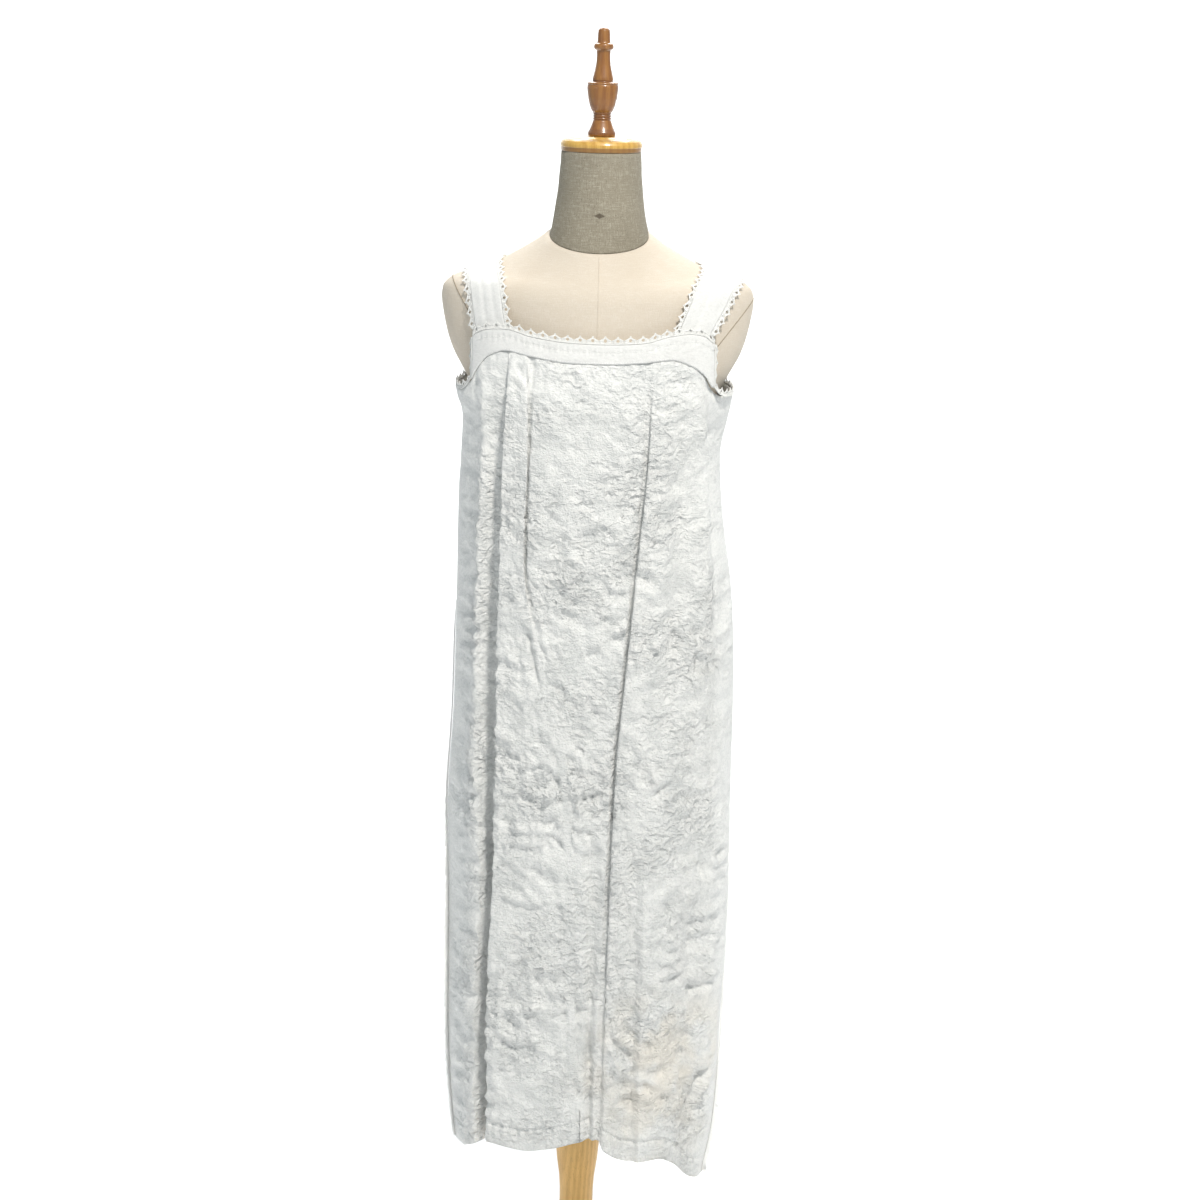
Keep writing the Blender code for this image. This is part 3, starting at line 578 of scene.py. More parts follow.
def seat(thing: Thing, slot: str, *nodes: str) -> Thing:
    """Rides a piece on the part, hides the nodes that it stands for, and reports it with its slot.

    Args:
        thing: the piece.
        slot: the record's material slot.
        nodes: the nodes that it replaces.

    Returns:
        The piece.
    """
    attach(thing, ROOT)
    if nodes:
        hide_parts(*nodes)
    log.info("%s: %d faces, slot %s", thing.name, len(thing.data.polygons), slot)
    return thing


def grid_normals(points: Array) -> Array:
    """The facing of each point of a grid, from its neighbours."""
    return unit(np.cross(np.gradient(points, axis=1), np.gradient(points, axis=0)))


def make_cloth(name: str, outer: Array, facing: Array, cloth: Array, wall: float, material: Material) -> Thing:
    """Makes a piece of cloth: a closed thin shell, whose hidden side has every second row and column.

    Args:
        name: the node that it stands for.
        outer: the grid of the side that shows, with an odd count each way.
        facing: the way out of the cloth at each point.
        cloth: places on the cloth.
        wall: the cloth's thickness.
        material: its finish.

    Returns:
        The object.
    """
    rows, columns = outer.shape[:2]
    inner = (outer - facing * wall)[::2, ::2]
    half_columns = inner.shape[1]
    base = rows * columns
    points = np.concatenate([outer.reshape(-1, 3), inner.reshape(-1, 3)])
    places = np.concatenate([cloth.reshape(-1, 2), cloth[::2, ::2].reshape(-1, 2)])
    number = np.arange(base).reshape(rows, columns)
    hidden = base + np.arange(inner.shape[0] * half_columns).reshape(-1, half_columns)
    faces = quads_of(number) + [face[::-1] for face in quads_of(hidden)]
    rims = ((number[0], hidden[0], 1), (number[-1], hidden[-1], -1),
            (number[:, 0], hidden[:, 0], -1), (number[:, -1], hidden[:, -1], 1))
    for fine, rough, turn in rims:
        for k in range(len(rough) - 1):
            a, b, c = (int(n) for n in fine[2 * k:2 * k + 3])
            d, e = int(rough[k]), int(rough[k + 1])
            for face in ((b, a, d), (e, b, d), (c, b, e)):
                faces.append(face if turn > 0 else face[::-1])
    thing = add_mesh(name + "_cloth", points, faces, material, cloth=places, tidy=True)
    return seat(thing, "dress_linen", name)


def quads_of(number: Array) -> list:
    """The quads of a grid of point numbers."""
    corners = (number[:-1, :-1], number[1:, :-1], number[1:, 1:], number[:-1, 1:])
    return np.stack(corners, -1).reshape(-1, 4).tolist()


class Yarn:
    """Gathers many tubes into one mesh."""

    def __init__(self) -> None:
        """Starts empty."""
        self.points: list[Array] = []
        self.faces: list = []
        self.count = 0

    def add(self, paths: Array, facing: Array, width: Array | float, depth: Array | float, sides: int = 5) -> None:
        """Adds tubes of equal length, closed at both ends.

        Args:
            paths: (tubes, steps, 3) points.
            facing: the way the flat of each tube faces, which may be shared.
            width: half widths along each path.
            depth: half depths.
            sides: faces round a tube.
        """
        tubes, steps = paths.shape[:2]
        along = unit(np.gradient(paths, axis=1))
        over = unit(np.cross(along, np.broadcast_to(facing, paths.shape)))
        out = np.cross(over, along)
        width = np.broadcast_to(np.asarray(width, float), (tubes, steps))[..., None, None]
        depth = np.broadcast_to(np.asarray(depth, float), (tubes, steps))[..., None, None]
        turn = 2 * math.pi * np.arange(sides) / sides
        ring = over[:, :, None] * np.cos(turn)[:, None] * width + out[:, :, None] * np.sin(turn)[:, None] * depth
        self.points.append((paths[:, :, None] + ring).reshape(-1, 3))
        number = self.count + np.arange(tubes * steps * sides).reshape(tubes, steps, sides)
        after = np.roll(number, -1, axis=2)
        walls = np.stack([number[:, :-1], after[:, :-1], after[:, 1:], number[:, 1:]], -1)
        self.faces += walls.reshape(-1, 4).tolist()
        self.faces += number[:, 0, ::-1].tolist() + number[:, -1].tolist()
        self.count += tubes * steps * sides

    def lay(self, points: Array, faces: list) -> None:
        """Adds a ready mesh.

        Args:
            points: its points.
            faces: its faces.
        """
        self.points.append(points)
        self.faces += [[corner + self.count for corner in face] for face in faces]
        self.count += len(points)

    def make(self, name: str, material: Material, tidy: bool = False) -> Thing:
        """Makes the object."""
        return add_mesh(name, np.concatenate(self.points), self.faces, material, tidy=tidy)


# --- The hang of the dress ---


def table_of(kind: type, *rows: tuple) -> tuple:
    """A table, each row of it a named tuple of one kind."""
    return tuple(kind(*row) for row in rows)


class Outline(NamedTuple):
    """A level section of the hanging dress before its creases: half widths, depths and squareness."""

    height: float
    left: float
    right: float
    front: float
    back: float
    roundness: float


DRESS = table_of(
    Outline,
    (1.350, 0.1700, 0.1700, 0.1000, 0.1000, 2.5),
    (1.300, 0.1700, 0.1690, 0.1110, 0.1060, 2.5),
    (1.257, 0.1710, 0.1690, 0.1190, 0.1090, 2.5),
    (1.222, 0.1630, 0.1640, 0.1230, 0.1100, 2.4),
    (1.180, 0.1640, 0.1570, 0.1250, 0.1110, 2.4),
    (1.117, 0.1670, 0.1610, 0.1270, 0.1120, 2.4),
    (0.989, 0.1680, 0.1780, 0.1290, 0.1150, 2.4),
    (0.858, 0.1700, 0.1830, 0.1310, 0.1200, 2.4),
    (0.725, 0.1760, 0.1840, 0.1320, 0.1220, 2.4),
    (0.588, 0.1740, 0.1860, 0.1330, 0.1230, 2.4),
    (0.449, 0.1740, 0.1830, 0.1340, 0.1240, 2.4),
    (0.306, 0.1690, 0.1800, 0.1350, 0.1250, 2.4),
    (0.230, 0.1620, 0.1720, 0.1350, 0.1250, 2.4),
)


class Seam(NamedTuple):
    """How far forward of the side each side seam lies, in degrees."""

    height: float
    left: float
    right: float


SEAMS = table_of(
    Seam,
    (1.257, -3.0, -4.0),
    (0.950, 0.0, -6.0),
    (0.800, 2.0, -6.0),
    (0.650, 8.0, -4.0),
    (0.500, 10.0, 0.0),
    (0.360, 13.0, 9.0),
    (0.250, 22.0, 21.0),
)


class Hang:
    """The form in which the dress hangs before its creases."""

    def __init__(self) -> None:
        """Reads the tables."""
        self.columns = {name: read_down(DRESS, name) for name in Outline._fields[1:]}
        self.seams = {hand: read_down(SEAMS, hand.value) for hand in Hand}

    def read(self, name: str, height: Array) -> Array:
        """A column of the outline at some heights."""
        return self.columns[name].at(height)

    def level(self, angle: Array, height: Array) -> tuple[Array, Array]:
        """Points and level outward directions.

        Args:
            angle: 0 is the left side, 90 degrees the front and 180 the right side.
            height: heights.

        Returns:
            The points and the directions.
        """
        angle, height = np.broadcast_arrays(angle, height)
        cos, sin = np.cos(angle), np.sin(angle)
        power = self.read("roundness", height)
        half = np.where(cos > 0, self.read("left", height), self.read("right", height))
        depth = np.where(sin > 0, self.read("front", height), self.read("back", height))
        x = -half * signed(cos, 2 / power)
        y = -depth * signed(sin, 2 / power)
        out = np.stack([signed(x / half, power - 1) / half, signed(y / depth, power - 1) / depth, 0 * x], -1)
        return np.stack([x, y, height], -1), unit(out)

    def point(self, angle: Array, height: Array, lift: Array | float = 0.0) -> Array:
        """Points lifted off the outline."""
        spot, out = self.level(angle, height)
        return spot + out * np.asarray(lift, float)[..., None]

    def angle_at(self, across: Array, height: Array, side: Side) -> Array:
        """Turns places across into angles.

        Args:
            across: how far to the right of the middle.
            height: heights.
            side: the front or the back.

        Returns:
            The angles at which that side of the dress lies there.
        """
        half = np.where(across < 0, self.read("left", height), self.read("right", height))
        reach = np.minimum(np.abs(across) / half, 1.0) ** (self.read("roundness", height) / 2)
        return side.value * np.arccos(-np.sign(across) * reach)

    def seam_angle(self, hand: Hand, height: Array, side: Side) -> Array:
        """The angle of a side seam, counted round the front or round the back."""
        forward = np.radians(self.seams[hand].at(height))
        return forward if hand is Hand.LEFT else side.value * math.pi - forward


HANG = Hang()


class Edge(NamedTuple):
    """The height of a cloth edge at a place across the dress."""

    across: float
    height: float


class BandEdge(NamedTuple):
    """The lower and upper edge of a neckline band at a place across the dress."""

    across: float
    bottom: float
    top: float


BANDS = {
    Side.FRONT: table_of(
        BandEdge,
        (-0.149, 1.2740, 1.3250), (-0.142, 1.2880, 1.3310), (-0.128, 1.3060, 1.3365), (-0.107, 1.3140, 1.3380),
        (-0.077, 1.3090, 1.3310), (-0.031, 1.3030, 1.3255), (0.010, 1.3025, 1.3245), (0.055, 1.3045, 1.3265),
        (0.090, 1.3080, 1.3350), (0.112, 1.3010, 1.3370), (0.128, 1.2900, 1.3340), (0.139, 1.2740, 1.3250),
    ),
    Side.BACK: table_of(
        BandEdge,
        (-0.147, 1.2760, 1.3260), (-0.126, 1.3020, 1.3330), (-0.090, 1.3080, 1.3310), (0.000, 1.3020, 1.3240),
        (0.090, 1.3080, 1.3310), (0.126, 1.3020, 1.3330), (0.145, 1.2760, 1.3260),
    ),
}

ARMHOLES = {
    (Side.FRONT, Hand.LEFT): table_of(Edge, (-0.1720, 1.2570), (-0.1630, 1.2590), (-0.1560, 1.2650)),
    (Side.FRONT, Hand.RIGHT): table_of(Edge, (0.1470, 1.2650), (0.1570, 1.2590), (0.1700, 1.2570)),
    (Side.BACK, Hand.LEFT): table_of(Edge, (-0.1720, 1.2570), (-0.1630, 1.2600), (-0.1550, 1.2670)),
    (Side.BACK, Hand.RIGHT): table_of(Edge, (0.1530, 1.2670), (0.1610, 1.2600), (0.1700, 1.2570)),
}

HEMS = {
    Side.FRONT: table_of(
        Edge,
        (-0.147, 0.2760), (-0.139, 0.2830), (-0.111, 0.3000), (-0.072, 0.2960), (-0.034, 0.3020), (0.010, 0.3140),
        (0.026, 0.3160), (0.033, 0.3020), (0.069, 0.2840), (0.101, 0.2850), (0.122, 0.2740), (0.148, 0.2430),
        (0.162, 0.2360),
    ),
    Side.BACK: table_of(
        Edge,
        (-0.147, 0.2760), (-0.110, 0.2640), (-0.050, 0.2720), (0.020, 0.2630), (0.090, 0.2700), (0.130, 0.2560),
        (0.162, 0.2360),
    ),
}

EDGE_GAP = 0.0004
SEAM_GAP = 0.0012
LACE_GAP = 0.0009
TOP_READ_HEIGHT = 1.290
HEM_READ_HEIGHT = 0.280

CREASE_HEIGHTS = (1.30, 1.20, 1.07, 0.95, 0.80, 0.65, 0.50, 0.36, 0.25)
Nine = tuple[float, float, float, float, float, float, float, float, float]


@dataclass(frozen=True)
class Crease:
    """A line down the cloth, in millimetres at CREASE_HEIGHTS: where it lies across and how far it stands out.

    hidden says that the cloth beyond it lies folded under, out of sight.
    """

    across: Nine
    lift: Nine
    hidden: bool = False

    def read(self, values: Nine, height: Array) -> Array:
        """A column of values in metres at some heights."""
        return Curve(CREASE_HEIGHTS[::-1], values[::-1]).at(height) * MM

    def folded(self, fade: Nine, *folds: tuple[float, float, bool, float]) -> "tuple[Crease, ...]":
        """The creases of a fold that goes along this one.

        Args:
            fade: how much of the fold is left at each height.
            folds: for each crease how far beside and above this one it lies, in millimetres, whether the cloth
                beyond it is folded under, and how far beside it lies where nothing is left of the fold.

        Returns:
            The creases, from left to right.
        """
        made = []
        for shift, rise, hidden, rest in folds:
            across = tuple(a + shift * f + rest * (1 - f) for a, f in zip(self.across, fade))
            made.append(Crease(across, tuple(b + rise * f for b, f in zip(self.lift, fade)), hidden))
        return tuple(made)


VALLEY = Crease((-103, -108, -110, -111, -111, -112, -117, -117, -114), (0, 2, 3, 4, 5, 5, 5, 4, 3)).folded(
    (0.1, 0.8, 1, 1, 1, 1, 1, 1, 0.9),
    (5.0, -17.0, True, 0.0), (4.0, -7.0, True, 0.0), (0.0, -2.2, False, 0.0), (1.5, 0.4, False, 0.0),
)
LEFT_PLEAT = Crease((-77, -78, -80, -58, -25, -15, -9, -5, -4), (0, 1.5, 1.5, 1, 0.5, 0, 0, 0, 0)).folded(
    (0.45, 1, 1, 0.25, 0, 0, 0, 0, 0),
    (-0.9, 0.4, False, -10.0), (0.0, -0.6, True, -6.0), (-4.5, -2.0, True, -2.0), (-4.0, -5.5, True, 2.0),
    (0.9, -4.5, False, 4.0), (3.4, -1.6, False, 8.0),
)
RIGHT_PLEAT = Crease((65, 65, 56, 47, 36, 32, 29, 28, 28), (0, 1.5, 2.2, 2.4, 2.6, 2.8, 2.8, 2.6, 2.2)).folded(
    (0.2, 0.75, 1, 1, 1, 0.85, 0.5, 0.4, 0.35),
    (-5.0, -4.6, False, -10.0), (-1.6, -9.0, True, -6.0), (4.5, -9.0, True, -3.0), (4.0, -4.5, True, 0.0),
    (0.0, -1.8, False, 4.0), (0.9, 0.3, False, 7.0),
)

FRONT_CREASES = (
    Crease((-149, -146, -149, -152, -158, -161, -161, -156, -147), (0, -3, -8, -9, -8, -5, -3, -2, -1)),
    Crease((-134, -133, -137, -138, -137, -129, -133, -132, -128), (0, 1, 2, 2, 3, 3, 3, 2, 1)),
    Crease((-117, -121, -125, -126, -126, -124, -129, -128, -124), (0, -9, -16, -19, -22, -24, -24, -22, -18)),
    Crease((-110, -115, -118, -119, -120, -120, -125, -125, -121), (-1, -12, -19, -22, -25, -28, -28, -25, -21), True),
    *VALLEY,
    Crease((-90, -91, -94, -90, -80, -76, -74, -72, -70), (0, 1, 1.5, 1.5, 1, 0, 0, 0, 0)),
    *LEFT_PLEAT,
    Crease((-66, -66, -67, -45, -12, -2, 2, 3, 4), (0, 0, 0, 0, 0, 0, 0, 0, 0)),
    Crease((30, 30, 25, 16, 8, 10, 12, 14, 15), (0, 0, -1, -2, -4, -7, -8, -8, -6)),
    *RIGHT_PLEAT,
    Crease((80, 84, 83, 75, 66, 66, 67, 68, 69), (0, 2, 3, 3, 0, -4, -5, -5, -4)),
    Crease((90, 104, 112, 104, 94, 77, 76, 77, 78), (0, -5, -11, -8, 0, 3, 4, 4, 3)),
    Crease((105, 133, 139, 136, 133, 134, 138, 140, 137), (0, 4, 4, 3, 0, -5, -6, -4, -2)),
    Crease((139, 147, 152, 156, 160, 161, 160, 158, 153), (0, -14, -5, 1, 2, 2, 3, 5, 3)),
)


BACK_LEFT_PLEAT = Crease((-60, -60, -58, -53, -47, -43, -39, -37, -37), (0, 2, 2.4, 3, 3, 3, 2.4, 2, 2)).folded(
    (0.4, 1, 1, 0.9, 0.8, 0.7, 0.6, 0.6, 0.6),
    (-2.0, 0.3, False, 0.0), (0.0, -2.2, True, 0.0), (-5.0, -5.0, True, 0.0), (-4.5, -8.0, True, 0.0),
    (4.0, -8.5, False, 0.0),
)
BACK_RIGHT_PLEAT = Crease((61, 62, 61, 60, 60, 60, 60, 62, 64), (0, 2, 2, 2, 3, 3, 3, 3, 2)).folded(
    (0.2, 0.6, 0.9, 1, 1.1, 1.2, 1.1, 1, 0.9),
    (-4.0, -10.0, True, 0.0), (4.5, -9.0, True, 0.0), (4.0, -6.0, True, 0.0), (0.0, -2.4, False, 0.0),
    (1.4, 0.3, False, 0.0),
)

BACK_CREASES = (
    Crease((-147, -145, -147, -149, -152, -154, -154, -151, -146), (0, 0, 0, 0, 1, 2, 2, 2, 1)),
    Crease((-128, -126, -128, -130, -134, -136, -138, -136, -130), (0, -3, -7, -8, -8, -9, -8, -7, -5)),
    Crease((-96, -98, -101, -104, -106, -108, -108, -106, -102), (0, 2, 4, 5, 5, 5, 4, 4, 3)),
    *BACK_LEFT_PLEAT,
    Crease((-4, -2, 0, 3, 6, 8, 10, 10, 10), (0, 0, 1, 2, 3, 4, 5, 5, 4)),
    *BACK_RIGHT_PLEAT,
    Crease((95, 98, 102, 104, 104, 103, 102, 104, 106), (0, 2, 2, 0, -4, -6, -6, -5, -4)),
    Crease((126, 127, 130, 138, 142, 144, 142, 140, 134), (0, -3, -6, -4, 2, 4, 5, 4, 3)),
    Crease((145, 144, 146, 155, 160, 162, 160, 157, 150), (0, 0, 0, 0, 1, 1, 1, 0, 0)),
)


class Wrinkle(NamedTuple):
    """A short fold on the cloth in millimetres: its two ends across and up, its width and how far it stands out."""

    x0: float
    z0: float
    x1: float
    z1: float
    width: float
    height: float


FRONT_WRINKLES = tuple(Wrinkle(*row) for row in (
    (-76, 1185, -45, 1148, 4, 1.6), (-45, 1148, -25, 1141, 4, 1.0), (31, 1175, 61, 1162, 4, 1.6),
    (-70, 1156, -50, 1152, 4, 1.0), (-37, 1032, 0, 1062, 5, 2.4), (-34, 1005, -4, 1034, 4, 1.6),
    (-75, 1042, -52, 1013, 4, -1.8), (-60, 988, -34, 1005, 4, 1.5), (-31, 987, 1, 995, 4, 1.6),
    (-18, 948, 50, 990, 5, 2.2), (4, 990, 19, 1008, 4, 1.2), (-77, 979, -57, 900, 5, -2.2),
    (118, 1111, 127, 1085, 4, 1.6), (126, 1118, 141, 1099, 4, 1.4), (127, 1014, 152, 1019, 4, 1.6),
    (104, 1010, 103, 982, 5, 1.2), (-51, 1071, -35, 1064, 4, 1.2), (-1, 1279, 24, 1296, 4, 1.0),
    (-7, 1295, 9, 1286, 4, 0.8), (11, 1215, 28, 1206, 5, 1.0), (-40, 1169, -22, 1179, 4, 0.9),
    (-51, 842, -13, 850, 4, 1.6), (-60, 756, -40, 771, 5, 2.0), (-40, 771, -9, 775, 4, 1.6),
    (-9, 775, 9, 774, 4, 1.2), (-46, 724, -18, 750, 6, 1.9), (-44, 721, -12, 699, 7, -1.6),
    (-12, 699, 11, 690, 6, -1.3), (-95, 726, -51, 724, 6, 1.2), (-107, 704, -69, 712, 6, 1.0),
    (-18, 717, -3, 731, 4, 1.5), (-99, 637, -68, 632, 5, 1.8), (-68, 632, -34, 636, 5, 1.6),
    (-34, 636, -11, 627, 5, 1.8), (-99, 627, -53, 621, 7, -1.4), (-88, 670, -66, 679, 5, 1.2),
    (-54, 674, -21, 664, 5, 1.3), (-16, 664, 8, 674, 5, 1.2), (54, 844, 69, 823, 4, 1.6),
    (47, 867, 64, 883, 4, 1.3), (76, 806, 88, 786, 4, 1.2), (48, 737, 60, 696, 5, -2.0),
    (60, 696, 64, 662, 5, -1.6), (48, 662, 58, 611, 5, -2.2), (58, 611, 69, 571, 5, -2.0),
    (69, 571, 75, 538, 5, -1.2), (133, 884, 149, 861, 4, 1.5), (152, 861, 171, 836, 4, 1.4),
    (144, 819, 165, 829, 4, 1.2), (143, 692, 150, 649, 5, -1.8), (99, 616, 117, 598, 4, 0.9),
    (106, 621, 127, 598, 4, -0.8), (116, 621, 134, 595, 4, 0.9), (102, 592, 120, 574, 4, 0.8),
    (-105, 497, -97, 488, 6, 1.4), (-97, 488, -79, 485, 6, 1.5), (-79, 485, -60, 488, 6, 1.5),
    (-60, 488, -58, 506, 6, 1.5), (-58, 506, -67, 567, 6, 1.8), (-64, 547, -28, 544, 5, 1.5),
    (-27, 518, 12, 510, 6, 1.3), (125, 526, 178, 523, 6, 2.0), (131, 506, 170, 512, 8, -2.4),
    (38, 469, 56, 443, 4, 1.2), (56, 443, 80, 438, 4, 1.2), (33, 572, 54, 522, 5, -1.8),
    (54, 522, 45, 485, 6, -1.4), (33, 491, 26, 392, 4, 1.4), (141, 349, 169, 397, 9, -2.6),
    (-74, 393, -23, 382, 7, 1.5), (-23, 382, 6, 402, 6, 1.2), (-92, 439, -49, 450, 7, 1.3),
    (-43, 434, -5, 423, 7, 1.3), (42, 409, 77, 417, 6, 1.2), (91, 396, 114, 379, 6, 1.2),
    (111, 464, 138, 491, 6, 1.6), (138, 491, 159, 464, 6, -1.2), (-27, 598, 4, 578, 7, -1.4),
    (15, 895, 36, 908, 5, 1.2), (-3, 895, 15, 867, 5, -1.2), (-118, 819, -100, 851, 5, 1.2),
    (-106, 889, -83, 908, 5, 1.1), (-61, 927, -35, 935, 5, 1.1), (75, 1118, 89, 1142, 5, -1.4),
    (89, 1142, 114, 1179, 6, -1.6), (58, 1069, 77, 1051, 4, 1.0), (9, 1118, 33, 1100, 5, 1.2),
    (-20, 1094, 9, 1106, 5, -1.1), (24, 819, 41, 838, 4, 1.3), (-81, 806, -50, 816, 5, 1.2),
    (-32, 806, -1, 796, 5, -1.2), (119, 970, 141, 945, 5, 1.2), (128, 920, 154, 935, 5, -1.2),
    (68, 970, 88, 952, 4, 1.0), (78, 895, 88, 867, 4, 1.0), (30, 1236, -4, 1196, 20, -1.6),
    (4, 1186, -26, 1140, 20, -1.8), (-30, 1092, -48, 1070, 14, -1.2), (-68, 1056, -44, 1040, 14, -1.4),
    (-56, 984, -30, 972, 14, -1.4), (124, 1180, 134, 1110, 24, -2.6), (100, 1040, 84, 980, 18, -1.6),
    (-8, 500, -16, 420, 18, -2.0), (-70, 675, -30, 655, 16, -1.3), (138, 600, 132, 540, 16, -1.6),
))

# The back has softer wrinkles of the same kind, turned over and moved up, as far as there is cloth for them
BACK_SHIFT, BACK_RISE, BACK_LEAN, BACK_LIMIT = 18, 34, 0.2, 1190
BACK_SHARES = (0.45, 0.65, 0.85)
BACK_WRINKLES = tuple(
    w._replace(
        x0=BACK_SHIFT - w.x0, z0=w.z0 + BACK_RISE,
        x1=BACK_SHIFT - w.x1, z1=w.z1 + BACK_RISE - BACK_LEAN * (w.x1 - w.x0),
        height=w.height * BACK_SHARES[k % 3],
    )
    for k, w in enumerate(FRONT_WRINKLES) if w.z0 < BACK_LIMIT
)


@dataclass(frozen=True)
class Panel:
    """The front or the back of the dress: one width of cloth from seam to seam and from its band to its hem."""

    side: Side
    creases: tuple[Crease, ...]
    wrinkles: tuple[Wrinkle, ...]
    column_spacing: float
    row_spacing: float
    seed: float
    wall: float = 0.0009
    hem_depth: float = 0.0270
    hem_zone: float = 0.036
    hem_rows: int = 20
    hem_lift: float = 0.0009
    dent_depth: float = 0.0030
    dent_width: float = 0.0024
    pucker_height: float = 0.0015
    pucker_pitch: float = 0.0105
    gather_height: float = 0.0007
    gather_pitch: float = 0.0125
    crumple_coarse: float = 0.0100
    crumple_fine: float = 0.0046
    coarse_scale: float = 34
    fine_scale: float = 82
    finer_scale: float = 170
    ridge: float = 0.22
    wrinkle_strength: float = 2.2

    def stops(self) -> list[Crease | None]:
        """The creases, with None for each side seam."""
        return [None, *self.creases, None]

    def ends(self, first: int, height: Array) -> tuple[Array, Array]:
        """The angle and lift of a stop at some heights.

        Args:
            first: the stop's number.
            height: heights.

        Returns:
            Angles and lifts.
        """
        crease = self.stops()[first]
        if crease is None:
            hand = Hand.LEFT if first == 0 else Hand.RIGHT
            return HANG.seam_angle(hand, height, self.side), np.zeros_like(height)
        return HANG.angle_at(crease.read(crease.across, height), height, self.side), crease.read(crease.lift, height)

    def columns(self) -> list[tuple[int, float]]:
        """Spreads the lines of cloth evenly between the stops.

        Returns:
            Each line, as the stop before it and the share of the way to the next.
        """
        found = []
        tests = np.array([0.45, 0.75, 1.10])
        count = len(self.creases) + 1
        for k in range(count):
            spots = [HANG.point(*self.at(k, share, tests)) for share in (0.0, 0.25, 0.5, 0.75, 1.0)]
            wide = sum(np.linalg.norm(b - a, axis=-1) for a, b in zip(spots, spots[1:])).max()
            steps = 2 * max(1, round(wide / self.column_spacing / 2))
            found += [(k, step / steps) for step in range(steps)]
        return [*found, (count - 1, 1.0)]

    def at(self, first: int, share: float, height: Array) -> tuple[Array, Array, Array]:
        """A line of cloth.

        Args:
            first: the stop before it.
            share: its share of the way to the next.
            height: heights.

        Returns:
            Its angles, the heights again and its lifts.
        """
        angle, lift = self.ends(first, height)
        next_angle, next_lift = self.ends(first + 1, height)
        ease = share * share * (3 - 2 * share)
        return angle + (next_angle - angle) * share, height, lift + (next_lift - lift) * ease

    def edge_heights(self, table: Curve, start: float, columns: list[tuple[int, float]]) -> Array:
        """Where each line of cloth meets an edge of the panel, found in a few steps.

        Args:
            table: the edge's height over the place across.
            start: a height near it.
            columns: the lines.

        Returns:
            A height for each line.
        """
        heights = []
        for first, share in columns:
            height = np.array([start])
            for _ in range(4):
                angle, _, _ = self.at(first, share, height)
                height = table.at(HANG.point(angle, height)[:, 0])
            heights.append(float(height[0]))
        return np.array(heights)

    def upper_edge(self) -> Curve:
        """The height of the panel's upper edge over the place across, under its band and down each armhole."""
        middle = tuple(Edge(row.across, row.bottom - EDGE_GAP) for row in BANDS[self.side])
        return read_over(ARMHOLES[self.side, Hand.LEFT] + middle + ARMHOLES[self.side, Hand.RIGHT], "height")

    def smoothness(self, columns: list[tuple[int, float]]) -> Array:
        """How much crumple each line of cloth takes: none by the seams and where it is folded under."""
        free = [0.0 if stop is None or stop.hidden else 1.0 for stop in self.stops()]
        return smooth_step(np.array([free[k] + (free[k + 1] - free[k]) * share for k, share in columns]))

    def crumples(self, places: Array) -> Array:
        """How far the cloth's crumples stand out.

        Args:
            places: across and up, in metres.

        Returns:
            Heights in metres.
        """
        bend = np.stack([noise_over(places, 26, self.seed + 5), noise_over(places, 26, self.seed + 9)], -1)
        warped = places * np.array([1.0, 1.25]) + bend * 0.006
        coarse = noise_over(warped, self.coarse_scale, self.seed)
        fine = noise_over(warped, self.fine_scale, self.seed + 2)
        finer = noise_over(warped, self.finer_scale, self.seed + 3)
        height = self.crumple_coarse * (self.ridge - np.abs(coarse)) + self.crumple_fine * (self.ridge - np.abs(fine))
        height += 0.5 * self.crumple_fine * finer * (0.4 + np.abs(coarse))
        patches = 0.55 + 0.75 * smooth_step(0.5 + 1.4 * noise_over(places, 9, self.seed + 7))
        low = 0.55 + 0.45 * smooth_step((1.20 - places[..., 1]) / 0.30)
        x, z = places[..., 0] / MM, places[..., 1] / MM
        for w in self.wrinkles:
            along = np.array([w.x1 - w.x0, w.z1 - w.z0])
            length = float(np.hypot(*along))
            along = along / length
            t = ((x - w.x0) * along[0] + (z - w.z0) * along[1]) / length
            off = (z - w.z0) * along[0] - (x - w.x0) * along[1]
            taper = smooth_step((t + 0.12) / 0.35) * smooth_step((1.12 - t) / 0.35)
            swell = np.exp(-((off / (0.62 * w.width)) ** 2))
            height = height + w.height * self.wrinkle_strength * MM * taper * swell
        return height * patches * low + height * 0.15

    def hem(self, places: Array, above: Array) -> Array:
        """The turned-up hem: thicker cloth, the dent of its seam and the puckers along it.

        Args:
            places: across and up, in metres.
            above: how far above the lower edge.

        Returns:
            Heights in metres.
        """
        lift = self.hem_lift * smooth_step((self.hem_depth - above) / 0.0025)
        dent = self.dent_depth * np.exp(-(((above - self.hem_depth) / self.dent_width) ** 2))
        phase = 2 * math.pi * places[..., 0] / self.pucker_pitch + 2.6 * noise_over(places, 30, self.seed + 11)
        pucker = self.pucker_height * np.sin(phase) * np.exp(-(((above - self.hem_depth + 0.004) / 0.010) ** 2))
        return lift - dent + pucker - 0.0006 * smooth_step((0.003 - above) / 0.003)

    def gathers(self, places: Array, below: Array) -> Array:
        """Short puckers just under the band's seam."""
        phase = 2 * math.pi * places[..., 0] / self.gather_pitch + 3.0 * noise_over(places, 14, self.seed + 13)
        return self.gather_height * np.sin(phase) * smooth_step(below / 0.004) * np.exp(-below / 0.022)

